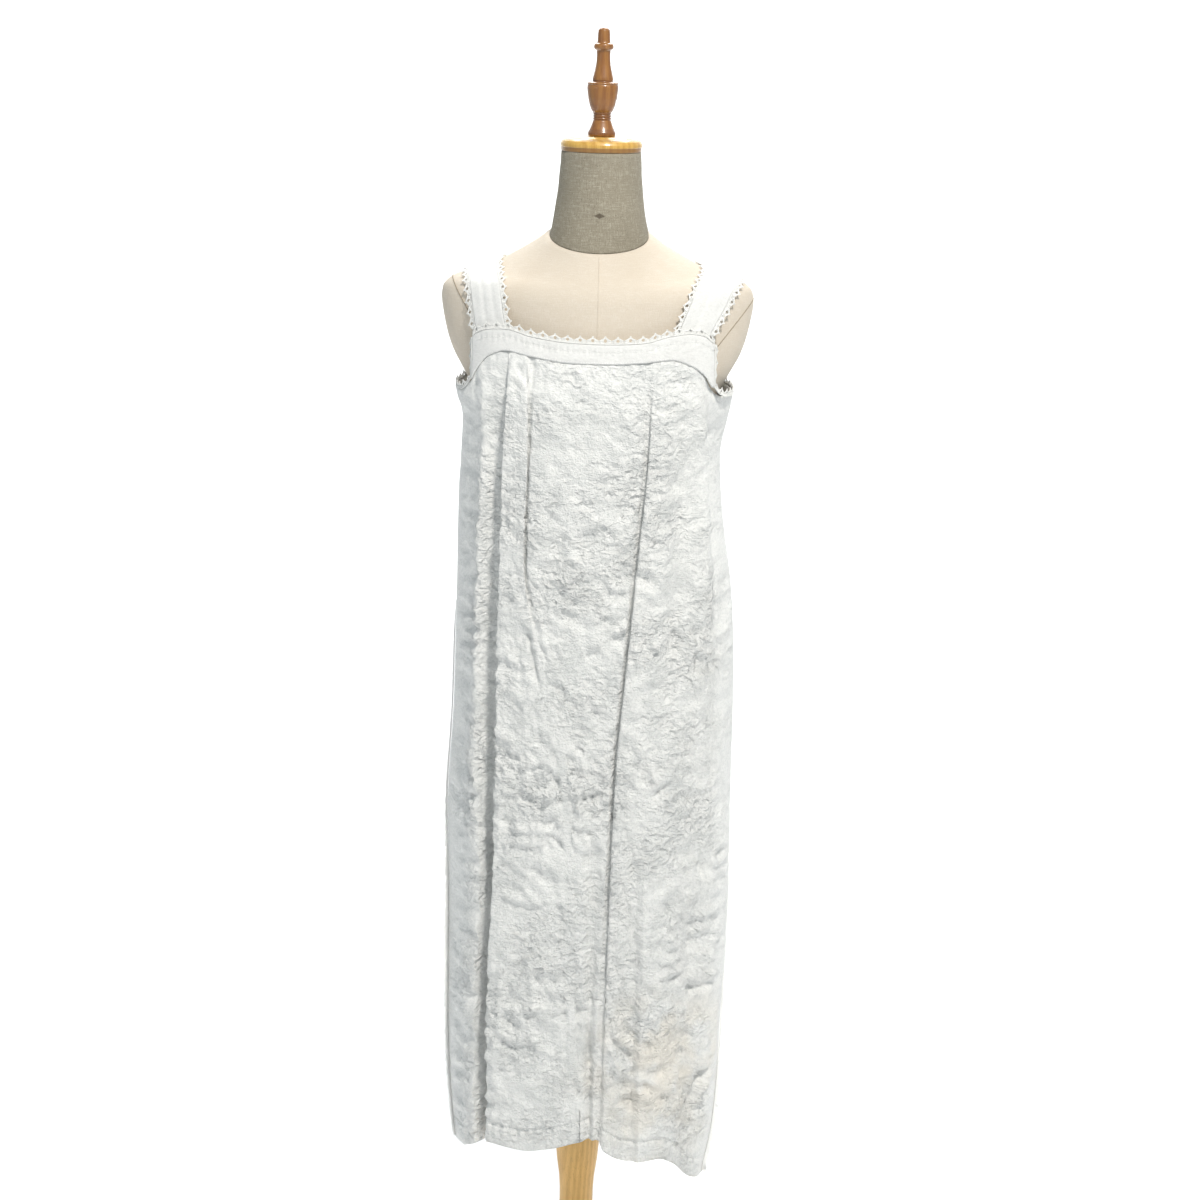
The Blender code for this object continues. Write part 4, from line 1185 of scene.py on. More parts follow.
    def build(self, material: Material) -> "MadePanel":
        """Makes the panel.

        Args:
            material: its finish.

        Returns:
            The object with its outer side.
        """
        columns = self.columns()
        tops = self.edge_heights(self.upper_edge(), TOP_READ_HEIGHT, columns)
        hems = self.edge_heights(read_over(HEMS[self.side], "height"), HEM_READ_HEIGHT, columns)
        length = float(tops.mean() - hems.mean())
        plain = 2 * round((length - self.hem_zone) / self.row_spacing / 2)
        share = np.concatenate([
            np.linspace(0.0, 1 - self.hem_zone / length, plain + 1),
            np.linspace(1 - self.hem_zone / length, 1.0, self.hem_rows + 1)[1:],
        ])
        heights = tops[None] + (hems - tops)[None] * share[:, None]
        grid = np.empty((*heights.shape, 3))
        angles = np.empty_like(heights)
        for c, (first, part) in enumerate(columns):
            angle, _, lift = self.at(first, part, heights[:, c])
            grid[:, c] = HANG.point(angle, heights[:, c], lift)
            angles[:, c] = angle
        outward = HANG.level(angles, heights)[1]
        for c in (0, -1):
            along = np.stack([-outward[:, c, 1], outward[:, c, 0], 0 * heights[:, c]], -1)
            grid[:, c] += along * (SEAM_GAP / 2 * np.sign(-self.side.value * along[:, 1]))[:, None]
        steps = np.linalg.norm(np.diff(grid, axis=1), axis=-1)
        run = np.concatenate([np.zeros_like(heights[:, :1]), np.cumsum(steps, axis=1)], 1)
        middle = int(np.argmin(np.abs(grid[0, :, 0])))
        cloth = np.stack([run - run[:, middle:middle + 1], heights], -1)
        takes = self.smoothness(columns)[None]
        below, above = tops[None] - heights, heights - hems[None]
        seam_fade = smooth_step(np.minimum(run, run[:, -1:] - run) / 0.012)
        edge_fade = smooth_step(below / 0.012) * smooth_step(above / 0.006)
        places = np.stack([grid[..., 0], grid[..., 2]], -1)
        move = self.crumples(places) * edge_fade * (0.35 + 0.65 * smooth_step((above - 0.02) / 0.02))
        move += self.hem(places, above) + self.gathers(places, below)
        grid += outward * (move * takes * seam_fade)[..., None]
        facing = grid_normals(grid) * -self.side.value
        thing = make_cloth(f"{self.side.name.lower()}_panel", grid, facing, cloth, self.wall, material)
        return MadePanel(thing, angles, heights, grid)

    def band_span(self) -> tuple[float, float]:
        """How far across the band starts and ends.

        Returns:
            The places over the first and the last crease.
        """
        ends = []
        for line in ((1, 0.0), (len(self.creases), 0.0)):
            height = self.edge_heights(self.upper_edge(), TOP_READ_HEIGHT, [line])
            ends.append(float(HANG.point(self.at(*line, height)[0], height)[0, 0]))
        return ends[0], ends[1]

    def armhole_half(self, hand: Hand) -> Array:
        """Half of an armhole's edge, from the side seam to the upper corner of the band.

        Args:
            hand: the flank.

        Returns:
            Points along the edge.
        """
        last = len(self.creases)
        shares = np.linspace(0.0, 1.0, 9)
        lines = [(0, s) if hand is Hand.LEFT else (last, 1.0 - s) for s in shares]
        heights = self.edge_heights(self.upper_edge(), TOP_READ_HEIGHT, lines)
        angles = np.array([self.at(*line, heights[k:k + 1])[0][0] for k, line in enumerate(lines)])
        points = HANG.point(angles, heights + LACE_GAP)
        corner = float(HANG.point(angles[-1], heights[-1])[0])
        across = corner + math.copysign(LACE_GAP, corner)
        top = float(read_over(BANDS[self.side], "top").at(corner)) - LACE_GAP
        rise = heights[-1] + (top - heights[-1]) * np.array([0.06, 0.3, 0.5, 0.75, 1.0])
        return np.concatenate([points[:-1], HANG.point(HANG.angle_at(np.full(5, across), rise, self.side), rise)])


class MadePanel(NamedTuple):
    """A finished panel: its object, and the angles, heights and points of its outer side."""

    thing: Thing
    angles: Array
    heights: Array
    grid: Array


@dataclass(frozen=True)
class Trail:
    """The line that an edging is sewn to: its points, the way it points off the cloth, and the way it faces.

    sewn is how far the edging's foot lies over the cloth.
    """

    points: Array
    away: Array
    facing: Array
    sewn: float = 0.0013

    def length(self) -> float:
        """The trail's length."""
        return float(np.linalg.norm(np.diff(self.points, axis=0), axis=1).sum())

    def place(self, flat: Array) -> Array:
        """Lays an ornament along the trail.

        Args:
            flat: places along, off the cloth and outwards, in metres.

        Returns:
            Points in space.
        """
        walked = walked_along(self.points)
        foot, away, facing = (read_along(flat[..., 0], walked, line) for line in (self.points, self.away, self.facing))
        return foot + unit(away) * (flat[..., 1:2] - self.sewn) + unit(facing) * flat[..., 2:3]


@dataclass(frozen=True)
class Band:
    """A stitched strip along a neckline, a little thicker than the cloth below it."""

    side: Side
    span: tuple[float, float]
    lift: float = 0.0012
    wall: float = 0.0018
    overlap: float = 0.0012
    columns: int = 261
    rows: int = 19
    seam_from_top: float = 0.0088
    seam_depth: float = 0.0006
    pucker_height: float = 0.00032
    pucker_pitch: float = 0.0068
    rim: float = 0.0018
    stitch: float = 0.0021
    stitch_pitch: float = 0.0031
    stitch_from_foot: float = 0.0022

    def heights(self, across: Array, share: Array | float) -> Array:
        """Heights at a share of the way from the upper to the lower edge."""
        top, bottom = (read_over(BANDS[self.side], edge).at(across) for edge in ("top", "bottom"))
        return top + (bottom - self.overlap - top) * share

    def surface(self, across: Array, height: Array, lift: Array | float) -> Array:
        """Points on the band."""
        return HANG.point(HANG.angle_at(across, height, self.side), height, lift)

    def build(self, material: Material, thread: Material) -> list[Thing]:
        """Makes the band and its stitches.

        Args:
            material: the cloth's finish.
            thread: the stitches' finish.

        Returns:
            The band, then its stitches.
        """
        across = np.linspace(*self.span, self.columns)[None] + np.zeros((self.rows, 1))
        share = np.linspace(0.0, 1.0, self.rows)[:, None] + np.zeros((1, self.columns))
        height = self.heights(across, share)
        top, bottom = height[0], height[-1]
        rim = np.minimum(top - height, height - bottom)
        ends = np.minimum(across - self.span[0], self.span[1] - across)
        lift = self.lift - 0.0008 * (1 - smooth_step(np.minimum(rim, ends) / self.rim))
        lift = lift + 0.0005 * smooth_step(share / 0.9 - 0.1)
        places = np.stack([across, height], -1)
        off = top - height - self.seam_from_top
        wave = 2 * math.pi * across / self.pucker_pitch + 2.0 * noise_over(places * [1, 0.2], 40, 3.1)
        pucker = np.sin(wave) * np.exp(-((off / 0.0048) ** 2)) * self.pucker_height
        lift = lift - self.seam_depth * np.exp(-((off / 0.0008) ** 2)) + pucker
        lift = lift + 0.0005 * noise_over(places, 60, 8.2) * smooth_step(rim / 0.004)
        grid = self.surface(across, height, lift)
        facing = grid_normals(grid) * -self.side.value
        name = f"{self.side.name.lower()}_band"
        band = make_cloth(name, grid, facing, places, self.wall, material)
        sewn = Yarn()
        starts = np.arange(self.span[0] + 0.003, self.span[1] - 0.004, self.stitch_pitch)
        x = starts[:, None] + np.linspace(0.0, self.stitch, 5)[None]
        bow = np.sin(np.linspace(0.0, math.pi, 5))[None]
        for level in (self.heights(x, 0.0) - self.seam_from_top, self.heights(x, 1.0) + self.stitch_from_foot):
            paths = self.surface(x, level, self.lift + 0.0001 + 0.0003 * bow)
            sewn.add(paths, np.array([0.0, -self.side.value, 0.0]), 0.00030, 0.00028, 4)
        stitches = seat(sewn.make(name + "_stitches", thread), "fringe_thread")
        return [band, stitches]

    def trail(self) -> Trail:
        """The band's upper edge.

        Returns:
            The trail for its edging.
        """
        across = np.linspace(*self.span, 80)
        height = self.heights(across, 0.0) + LACE_GAP
        foot = self.surface(across, height, 0.0010)
        tip = self.surface(across, height + 0.0096, 0.0010)
        facing = np.broadcast_to([0.0, -float(self.side.value), 0.0], foot.shape)
        return Trail(foot, unit(tip - foot), facing)


class StrapPlace(NamedTuple):
    """The outer and inner edge of a shoulder strap at its front, at the shoulder and at its back."""

    outer: tuple[float, float, float]
    inner: tuple[float, float, float]


STRAPS = {
    Hand.LEFT: StrapPlace((-0.1445, -0.1560, -0.1410), (-0.1085, -0.1230, -0.1080)),
    Hand.RIGHT: StrapPlace((0.1340, 0.1690, 0.1390), (0.0975, 0.1310, 0.1060)),
}


# The creases along each strap: the place from the outer (0) to the inner edge (1), the lean and the depth
STRAP_CREASES = {
    Hand.LEFT: ((0.36, 0.05, 0.0010), (0.66, -0.04, 0.0008)),
    Hand.RIGHT: ((0.55, 0.03, 0.0006),),
}

# The flat size of each piece of cloth, in metres
STRAP_FLAT = (0.036, 0.27)


@dataclass(frozen=True)
class Strap:
    """A shoulder strap, pulled tight over the shoulder from the front band to the back band."""

    hand: Hand
    body: BVHTree
    axis_height: float = 1.305
    lines: int = 4
    turns: int = 23
    clearance: float = 0.0033
    shoulder: float = 0.46
    set_back: float = 0.0008
    tuck: float = 0.004
    tuck_back: float = 0.0012
    wall: float = 0.0009
    rows: int = 141
    columns: int = 19

    def across(self, share: Array, edge: float) -> Array:
        """How far across the strap lies, from front (0) to back (1) and from outer (0) to inner edge (1)."""
        outer, inner = (Curve((0.0, self.shoulder, 1.0), places).at(share) for places in STRAPS[self.hand])
        return outer + (inner - outer) * edge

    def end(self, across: float, side: Side, below: float, back: float) -> Array:
        """A place this far below and behind the edge of the lace on a band."""
        height = read_over(BANDS[side], "top").at(across) + LACE_GAP - below
        return HANG.point(HANG.angle_at(np.array(across), height, side), height, -back)

    def line(self, edge: float) -> Array:
        """One line of the strap.

        Args:
            edge: its place from the outer to the inner edge.

        Returns:
            Its points, from behind the front band to behind the back band.
        """
        shares = np.linspace(0.0, 1.0, self.turns)
        across = self.across(shares, edge)
        front, back = (self.end(across[k], side, 0.0, self.set_back) for k, side in ((0, Side.FRONT), (-1, Side.BACK)))
        first = math.atan2(front[2] - self.axis_height, -front[1])
        last = math.atan2(back[2] - self.axis_height, -back[1])
        angles = first + (last - first) * shares
        ways = np.stack([-np.cos(angles), np.sin(angles)], -1)
        reaches = []
        for x, (y, z) in zip(across, ways):
            along = Vector((0.0, y, z))
            _, facing, _, reach = self.body.ray_cast(Vector((x, 0.0, self.axis_height)), along)
            reaches.append(reach + self.clearance / max(abs(facing.dot(along)), 0.5))
        reaches[0] = math.hypot(front[1], front[2] - self.axis_height)
        reaches[-1] = math.hypot(back[1], back[2] - self.axis_height)
        pulled = self.taut(angles, np.array(reaches))
        points = np.stack([across, ways[:, 0] * pulled, self.axis_height + ways[:, 1] * pulled], -1)
        first_under = self.end(across[0], Side.FRONT, self.tuck, self.tuck_back)
        last_under = self.end(across[-1], Side.BACK, self.tuck, self.tuck_back)
        return np.concatenate([[first_under], points, [last_under]])

    def taut(self, angles: Array, reaches: Array) -> Array:
        """Pulls a line tight, as a ribbon lies.

        Args:
            angles: the line's angles about an inner axis.
            reaches: its distances from that axis.

        Returns:
            The distances, pulled out to every chord.
        """
        spots = np.stack([reaches * np.cos(angles), reaches * np.sin(angles)], -1)
        pulled = reaches.copy()
        for start in range(len(spots)):
            for end in range(start + 2, len(spots)):
                chord = spots[end] - spots[start]
                across = spots[start][0] * chord[1] - spots[start][1] * chord[0]
                inside = angles[start + 1:end]
                along = np.cos(inside) * chord[1] - np.sin(inside) * chord[0]
                pulled[start + 1:end] = np.maximum(pulled[start + 1:end], across / along)
        return pulled

    def build(self, material: Material) -> Thing:
        """Makes the strap.

        Args:
            material: its finish.

        Returns:
            The object.
        """
        rough = np.stack([self.line(edge) for edge in np.linspace(0.0, 1.0, self.lines)])
        count = rough.shape[1]
        stations = (-0.4, *(float(k) for k in range(count - 2)), count - 2.6)
        at = np.linspace(stations[0], stations[-1], self.rows)
        run = np.stack([[Curve(stations, tuple(line[:, k])).at(at) for k in range(3)] for line in rough])
        edge = np.linspace(0.0, self.lines - 1.0, self.columns)
        low = np.minimum(edge.astype(int), self.lines - 2)
        part = (edge - low)[:, None, None]
        grid = np.moveaxis(run[low] * (1 - part) + run[low + 1] * part, 2, 0)
        spine = np.array([0.0, 0.0, self.axis_height])
        facing = grid_normals(grid)
        facing *= np.sign(((grid - spine) * [0, 1, 1] * facing).sum(-1, keepdims=True))
        share = np.linspace(0.0, 1.0, self.columns)[None]
        length = np.linspace(0.0, 1.0, self.rows)[:, None]
        wide, long = STRAP_FLAT
        places = np.stack([share * wide + 0 * length, length * long + 0 * share], -1)
        lift = 0.0010 * noise_over(places, 48, 5.5) + 0.0005 * noise_over(places, 120, 6.5)
        for middle, lean, depth in STRAP_CREASES[self.hand]:
            off = share - middle - lean * (length - 0.3) - 0.03 * np.sin(9 * length)
            lift = lift - depth * np.exp(-((off / 0.055) ** 2)) * smooth_step(length / 0.08)
        rim = np.minimum(share, 1 - share) * wide
        lift = lift * smooth_step(rim / 0.003) + 0.0003 * np.exp(-(((rim - 0.003) / 0.0012) ** 2))
        ends = np.minimum(length, 1 - length)
        grid = grid + facing * (lift * smooth_step(ends / 0.06))[..., None]
        return make_cloth(f"strap_{self.hand.value}", grid, facing, places, self.wall, material)

    def trail(self, edge: float, beside: float) -> Trail:
        """An edge of the strap, with the edging in the strap's own plane.

        Args:
            edge: 0 for the outer or 1 for the inner edge.
            beside: the next line inwards.

        Returns:
            The trail.
        """
        line, inside = self.line(edge)[1:-1], self.line(beside)[1:-1]
        outward = unit(line - inside)
        return Trail(line + outward * LACE_GAP, outward, unit((line - [0, 0, self.axis_height]) * [0, 1, 1]))


def armhole_trail(hand: Hand, front: Panel, back: Panel) -> Trail:
    """An armhole's edge, from the front band under the arm to the back band.

    Args:
        hand: the flank.
        front: the front panel.
        back: the back panel.

    Returns:
        The trail.
    """
    points = np.concatenate([front.armhole_half(hand)[::-1], back.armhole_half(hand)[1:]])
    along = np.gradient(points, axis=0)
    outward = unit(points * [1.0, 0.75, 0.0])
    sign = 1.0 if hand is Hand.LEFT else -1.0
    return Trail(points, unit(np.cross(along, outward)) * sign, outward)


@dataclass(frozen=True)
class Lace:
    """A crocheted edging: a twisted foot chain, and pointed arches with a hole, spokes and a picot each."""

    name: str
    trail: Trail
    start: float
    repeat: float = 0.0146
    height: float = 0.0096
    valley: float = 0.0043
    hole_centre: float = 0.0046
    hole: float = 0.0019
    wall: float = 0.0007
    yarn: float = 0.00046
    chain_step: float = 0.0008
    chain_turn: float = 0.0026
    rays: int = 24

    def arch(self, share: Array, pitch: float) -> Array:
        """The arch's edge.

        Args:
            share: shares of the repeat.
            pitch: the repeat's width.

        Returns:
            Places along and off the cloth.
        """
        slope = 1 - np.abs(2 * share - 1)
        rise = self.valley + (self.height - 0.0009 - self.valley) * (0.72 * slope ** 0.8 + 0.28 * slope ** 3)
        return np.stack([share * pitch, rise], -1)

    def boundary(self, pitch: float) -> tuple[Array, Array]:
        """The plate's hole and edge, point for point.

        Args:
            pitch: the repeat's width.

        Returns:
            The hole's points and the edge's points.
        """
        way = circle(2 * math.pi * np.arange(self.rays) / self.rays)
        middle = np.array([pitch / 2, self.hole_centre])
        reach = np.linspace(self.hole, pitch, 160)
        spots = middle + way[:, None] * reach[None, :, None]
        share = np.clip(spots[..., 0] / pitch, 0.0, 1.0)
        inside = (spots[..., 1] > 0.0004) & (spots[..., 0] > 0) & (spots[..., 0] < pitch)
        inside &= spots[..., 1] < self.arch(share, pitch)[..., 1]
        first_out = np.argmin(inside, axis=1)
        edge = middle + way * reach[np.maximum(first_out - 1, 0)][:, None]
        return middle + way * self.hole, edge

    def build(self, material: Material) -> Thing:
        """Makes the edging.

        Args:
            material: its finish.

        Returns:
            The object.
        """
        length = self.trail.length() - 2 * self.start
        count = max(2, round(length / self.repeat))
        pitch = length / count
        yarn = Yarn()
        origin = np.zeros((count, 1, 3))
        origin[:, 0, 0] = self.start + pitch * np.arange(count)
        order = np.arange(count)[:, None]
        scale = 1 + 0.05 * np.sin(2.3 * order + 1.0) * np.cos(1.1 * order)
        tilt = 0.0005 * np.sin(1.7 * order + 0.4)

        def lay(flat: Array, out: Array | float) -> Array:
            """Lays a flat line in every repeat.

            Args:
                flat: places along and off the cloth.
                out: how far it stands out.

            Returns:
                The lines in space.
            """
            line = np.zeros((count, len(flat), 3))
            line[..., 0] = flat[:, 0]
            line[..., 1] = flat[:, 1] * np.where(flat[:, 1] > self.valley, scale, 1.0)
            line[..., 2] = out + tilt * (flat[:, 1] / self.height) ** 2
            return self.trail.place(line + origin)

        hole, edge = self.boundary(pitch)
        rings = np.concatenate([lay(hole, 0.0), lay(edge, 0.0), lay(edge, -self.wall), lay(hole, -self.wall)], 1)
        number = np.pad(np.arange(4 * self.rays).reshape(4, -1), ((0, 1), (0, 1)), "wrap")
        faces = [face[::-1] for face in quads_of(number)]
        for plate in rings:
            yarn.lay(plate, faces)
        outwards = self.trail.facing.mean(0)
        middle = np.array([pitch / 2, self.hole_centre])
        rim = middle + circle(np.linspace(0.0, 2 * math.pi, 13)) * (self.hole + 0.0005)
        yarn.add(lay(rim, 0.0002), outwards, self.yarn, self.yarn, 4)
        flank = self.arch(np.linspace(0.0, 0.44, 9), pitch)
        loop = np.array([[-0.0004, 0.0003], [-0.0008, 0.0010], [0.0, 0.0015], [0.0008, 0.0010], [0.0004, 0.0003]])
        top = np.array([pitch / 2, self.height - 0.0013]) + loop
        other = flank[::-1] * [-1, 1] + [pitch, 0]
        scallop = np.concatenate([flank, top, other])
        scallop[:, 1] += 0.00022 * np.cos(np.arange(len(scallop)) * math.pi)
        yarn.add(lay(scallop, 0.0001), outwards, self.yarn * 1.1, self.yarn * 1.1, 5)
        for way in circle(np.radians(np.arange(-8, 189, 28))):
            wanted = self.arch(np.array([np.clip(0.5 + 0.40 * way[0], 0, 1)]), pitch)[0] - [0, 0.0006]
            spoke = np.linspace(middle + way * (self.hole + 0.0008), wanted, 4)
            yarn.add(lay(spoke, 0.00025), outwards, self.yarn, self.yarn, 4)
        for share in (0.06, 0.17, 0.29, 0.71, 0.83, 0.94):
            post = np.linspace([share * pitch, 0.0008], [share * pitch, self.valley - 0.0006], 4)
            yarn.add(lay(post, 0.0002), outwards, self.yarn, self.yarn, 4)
        along = np.arange(self.start, self.start + length, self.chain_step)
        for half in (0.0, math.pi):
            phase = 2 * math.pi * along / self.chain_turn + half
            chain = np.stack([along, 0.0009 + 0.00045 * np.sin(phase), 0.0002 + 0.0004 * np.cos(phase)], -1)
            yarn.add(self.trail.place(chain)[None], outwards, self.yarn, self.yarn, 4)
        lace = yarn.make(self.name + "_crochet", material, tidy=True)
        return seat(lace, "crochet_lace", self.name)


class FringeSize(NamedTuple):
    """How far the sewn-over thread stands out of each side seam, and how far it leans forward."""

    height: float
    left: float
    left_forward: float
    right: float
    right_forward: float


FRINGE = table_of(
    FringeSize,
    (0.985, 0.0020, 0.8, 0.0020, -0.5),
    (0.860, 0.0024, 1.0, 0.0020, -0.5),
    (0.720, 0.0050, 1.3, 0.0020, -0.5),
    (0.620, 0.0090, 1.4, 0.0020, -0.5),
    (0.560, 0.0115, 1.4, 0.0022, -0.5),
    (0.480, 0.0100, 1.4, 0.0025, -0.3),
    (0.400, 0.0085, 1.3, 0.0032, 0.0),
    (0.340, 0.0060, 1.2, 0.0055, 0.3),
    (0.240, 0.0030, 1.0, 0.0060, 0.4),
)


@dataclass(frozen=True)
class Fringe:
    """The thick thread that sews over a side seam: a bright cord of slanting stitches with loose ends."""

    hand: Hand
    top: float = 0.985
    hem_clearance: float = 0.004
    strands: int = 245
    strip: float = 0.0030
    gap: float = 0.0006
    slant: float = 0.55

    def roots(self, height: Array) -> tuple[Array, Array]:
        """Where the fringe leaves the seam and the way that it lies.

        Args:
            height: heights.

        Returns:
            Points and directions.
        """
        angle = HANG.seam_angle(self.hand, height, Side.FRONT)
        seam, outward = HANG.level(angle, height)
        forward = np.cross(UP, outward)
        forward *= np.where(forward[..., 1:2] > 0, -1.0, 1.0)
        lean = read_down(FRINGE, self.hand.value + "_forward").at(height)[..., None]
        return seam + outward * self.gap, unit(outward + forward * lean)

    def build(self, material: Material) -> Thing:
        """Makes the backing strip and the strands.

        Args:
            material: its finish.

        Returns:
            The object.
        """
        low = HEMS[Side.FRONT][0 if self.hand is Hand.LEFT else -1].height + self.hem_clearance
        yarn = Yarn()
        level = np.linspace(self.top, low, 160)
        root, lie = self.roots(level)
        flat = np.cross(lie, UP)
        taper = smooth_step((self.top - level) / 0.05 + 0.05)
        half = self.strip * 0.5 * taper
        yarn.add((root + lie * half[:, None])[None], flat.mean(0), half, 0.0006, 6)
        order = np.arange(self.strands)
        level = self.top + (low - self.top) * (order + 0.5) / self.strands
        root, lie = self.roots(level)
        reach = read_down(FRINGE, self.hand.value).at(level)
        wild = (np.sin(12.9898 * order) * 43758.5453) % 1
        wilder = (np.sin(78.233 * order + 1.3) * 12543.123) % 1
        long = (self.strip * 0.85 + reach * (0.72 + 0.36 * wild)) * smooth_step((self.top - level) / 0.05 + 0.15)
        steps = np.linspace(0.0, 1.0, 7)
        out = long[:, None] * steps * (1 - 0.12 * steps)
        fall = -self.slant * out - 0.0012 * (wilder[:, None] - 0.4) * steps ** 2
        side = np.cross(lie, UP)
        swing = 0.0011 * (wild[:, None] - 0.5) * steps ** 1.5 + 0.0005 * np.sin(order)[:, None] * steps
        paths = root[:, None] + lie[:, None] * out[..., None] + UP * fall[..., None] + side[:, None] * swing[..., None]
        paths[..., 2] = np.maximum(paths[..., 2], low - 0.001)
        full = smooth_step((reach - 0.0018) / 0.003)[:, None]
        width = (0.0008 + 0.0008 * full) * (1 - 0.55 * steps ** 2)
        yarn.add(paths, side.mean(0), width, 0.00045, 5)
        fringe = yarn.make(f"fringe_{self.hand.value}_thread", material, tidy=True)
        return seat(fringe, "fringe_thread", f"fringe_{self.hand.value}")


@dataclass(frozen=True)
class HemStitches:
    """The row of stitches that holds up the hem, sunk in the dent of its seam."""

    panel: Panel
    made: MadePanel
    pitch: float = 0.0052
    stitch: float = 0.0031

    def build(self, material: Material) -> Thing:
        """Makes the stitches.

        Args:
            material: its finish.

        Returns:
            The object.
        """
        grid = self.made.grid
        above = self.made.heights - self.made.heights[-1:]
        row = int(np.argmin(np.abs(above.mean(1) - self.panel.hem_depth)))
        line = grid[row]
        outward = HANG.level(self.made.angles[row], self.made.heights[row])[1]
        walked = walked_along(line)
        starts = np.arange(0.004, walked[-1] - 0.006, self.pitch)
        at = starts[:, None] + np.linspace(0.0, self.stitch, 5)[None]
        bow = 0.0003 + 0.0008 * np.sin(np.linspace(0.0, math.pi, 5))[None]
        paths = read_along(at, walked, line) + unit(read_along(at, walked, outward)) * bow[..., None]
        sewn = Yarn()
        sewn.add(paths, np.array([0.0, -self.panel.side.value, 0.0]), 0.0006, 0.0004, 5)
        return seat(sewn.make(f"{self.panel.side.name.lower()}_hem_stitches", material), "fringe_thread")


# --- The dress form and its stand ---


class Ring(NamedTuple):
    """A section of the form's body: it tilts forward where the neck starts."""

    height: float
    half_width: float
    front: float
    back: float
    roundness: float
    tilt: float


GAP = 0.0003
NECK_BASE_HEIGHT = 1.4425
NECK_TOP_HEIGHT = 1.5427
NECK_TILT = 0.318
TORSO_BOTTOM = 0.800
CAP_TOP = 1.5605
BASE_HEIGHT = 0.030

TORSO = table_of(
    Ring,
    (NECK_BASE_HEIGHT, 0.0620, 0.0560, 0.0560, 2.0, NECK_TILT),
    (1.4280, 0.0830, 0.0660, 0.0680, 1.9, 0.27),
    (1.4125, 0.1130, 0.0760, 0.0790, 1.8, 0.20),
    (1.4040, 0.1320, 0.0810, 0.0830, 1.8, 0.15),
    (1.3985, 0.1520, 0.0840, 0.0850, 1.8, 0.12),
    (1.3890, 0.1790, 0.0880, 0.0880, 1.8, 0.08),
    (1.3780, 0.1885, 0.0910, 0.0910, 1.8, 0.04),
    (1.3650, 0.1900, 0.0930, 0.0930, 1.8, 0.0),
    (1.3290, 0.1840, 0.0980, 0.0960, 1.8, 0.0),
    (1.3035, 0.1760, 0.1030, 0.0970, 1.8, 0.0),
    (1.2790, 0.1630, 0.1070, 0.0960, 1.9, 0.0),
    (1.2400, 0.1420, 0.1100, 0.0930, 2.0, 0.0),
    (1.1900, 0.1270, 0.1100, 0.0890, 2.0, 0.0),
    (1.1200, 0.1130, 0.0970, 0.0830, 2.0, 0.0),
    (1.0500, 0.1060, 0.0850, 0.0800, 2.1, 0.0),
    (0.9700, 0.1270, 0.0870, 0.0930, 2.1, 0.0),
    (0.9000, 0.1420, 0.0890, 0.1010, 2.1, 0.0),
    (0.8400, 0.1430, 0.0880, 0.1000, 2.1, 0.0),
    (0.8100, 0.1400, 0.0860, 0.0970, 2.1, 0.0),
    (TORSO_BOTTOM, 0.1330, 0.0800, 0.0910, 2.1, 0.0),
)

NECK = table_of(
    Ring,
    (NECK_TOP_HEIGHT, 0.0480, 0.0480, 0.0480, 2.0, 0.0),
    (1.5100, 0.0500, 0.0495, 0.0495, 2.0, 0.05),
    (1.4750, 0.0540, 0.0520, 0.0520, 2.0, 0.18),
    (1.4550, 0.0575, 0.0535, 0.0535, 2.0, 0.26),
    (NECK_BASE_HEIGHT + GAP, 0.0600, 0.0545, 0.0545, 2.0, NECK_TILT),
)


class Turning(NamedTuple):
    """A point on the outer side of a turned piece."""

    radius: float
    height: float


CAP = table_of(
    Turning,
    (0.0, CAP_TOP), (0.0190, CAP_TOP), (0.0250, 1.5598), (0.0275, 1.5583), (0.0300, 1.5590), (0.0370, 1.5588),
    (0.0380, 1.5572), (0.0390, 1.5585), (0.0430, 1.5580), (0.0470, 1.5555), (0.0490, 1.5520), (0.0490, 1.5490),
    (0.0484, 1.5482), (0.0484, 1.5440), (0.0475, NECK_TOP_HEIGHT + GAP), (0.0, NECK_TOP_HEIGHT + GAP),
)

FINIAL = table_of(
    Turning,
    (0.0, 1.6875), (0.0045, 1.6868), (0.0069, 1.6845), (0.0073, 1.6800), (0.0076, 1.6712), (0.0084, 1.6696),
    (0.0112, 1.6682), (0.0119, 1.6655), (0.0112, 1.6628), (0.0084, 1.6608), (0.0081, 1.6560), (0.0082, 1.6500),
    (0.0088, 1.6440), (0.0098, 1.6390), (0.0110, 1.6340), (0.0121, 1.6295), (0.0126, 1.6265), (0.0121, 1.6250),
    (0.0150, 1.6245), (0.0184, 1.6235), (0.0188, 1.6222), (0.0178, 1.6212), (0.0186, 1.6200), (0.0187, 1.6170),
    (0.0182, 1.6120), (0.0172, 1.6050), (0.0153, 1.5970), (0.0129, 1.5910), (0.0108, 1.5886), (0.0108, 1.5866),
    (0.0098, 1.5860), (0.0108, 1.5852), (0.0108, 1.5836), (0.0098, 1.5829), (0.0108, 1.5822), (0.0108, 1.5806),
    (0.0098, 1.5799), (0.0109, 1.5792), (0.0116, 1.5765), (0.0134, 1.5715), (0.0152, 1.5675), (0.0165, 1.5652),
    (0.0166, 1.5630), (0.0160, CAP_TOP + GAP), (0.0, CAP_TOP + GAP),
)

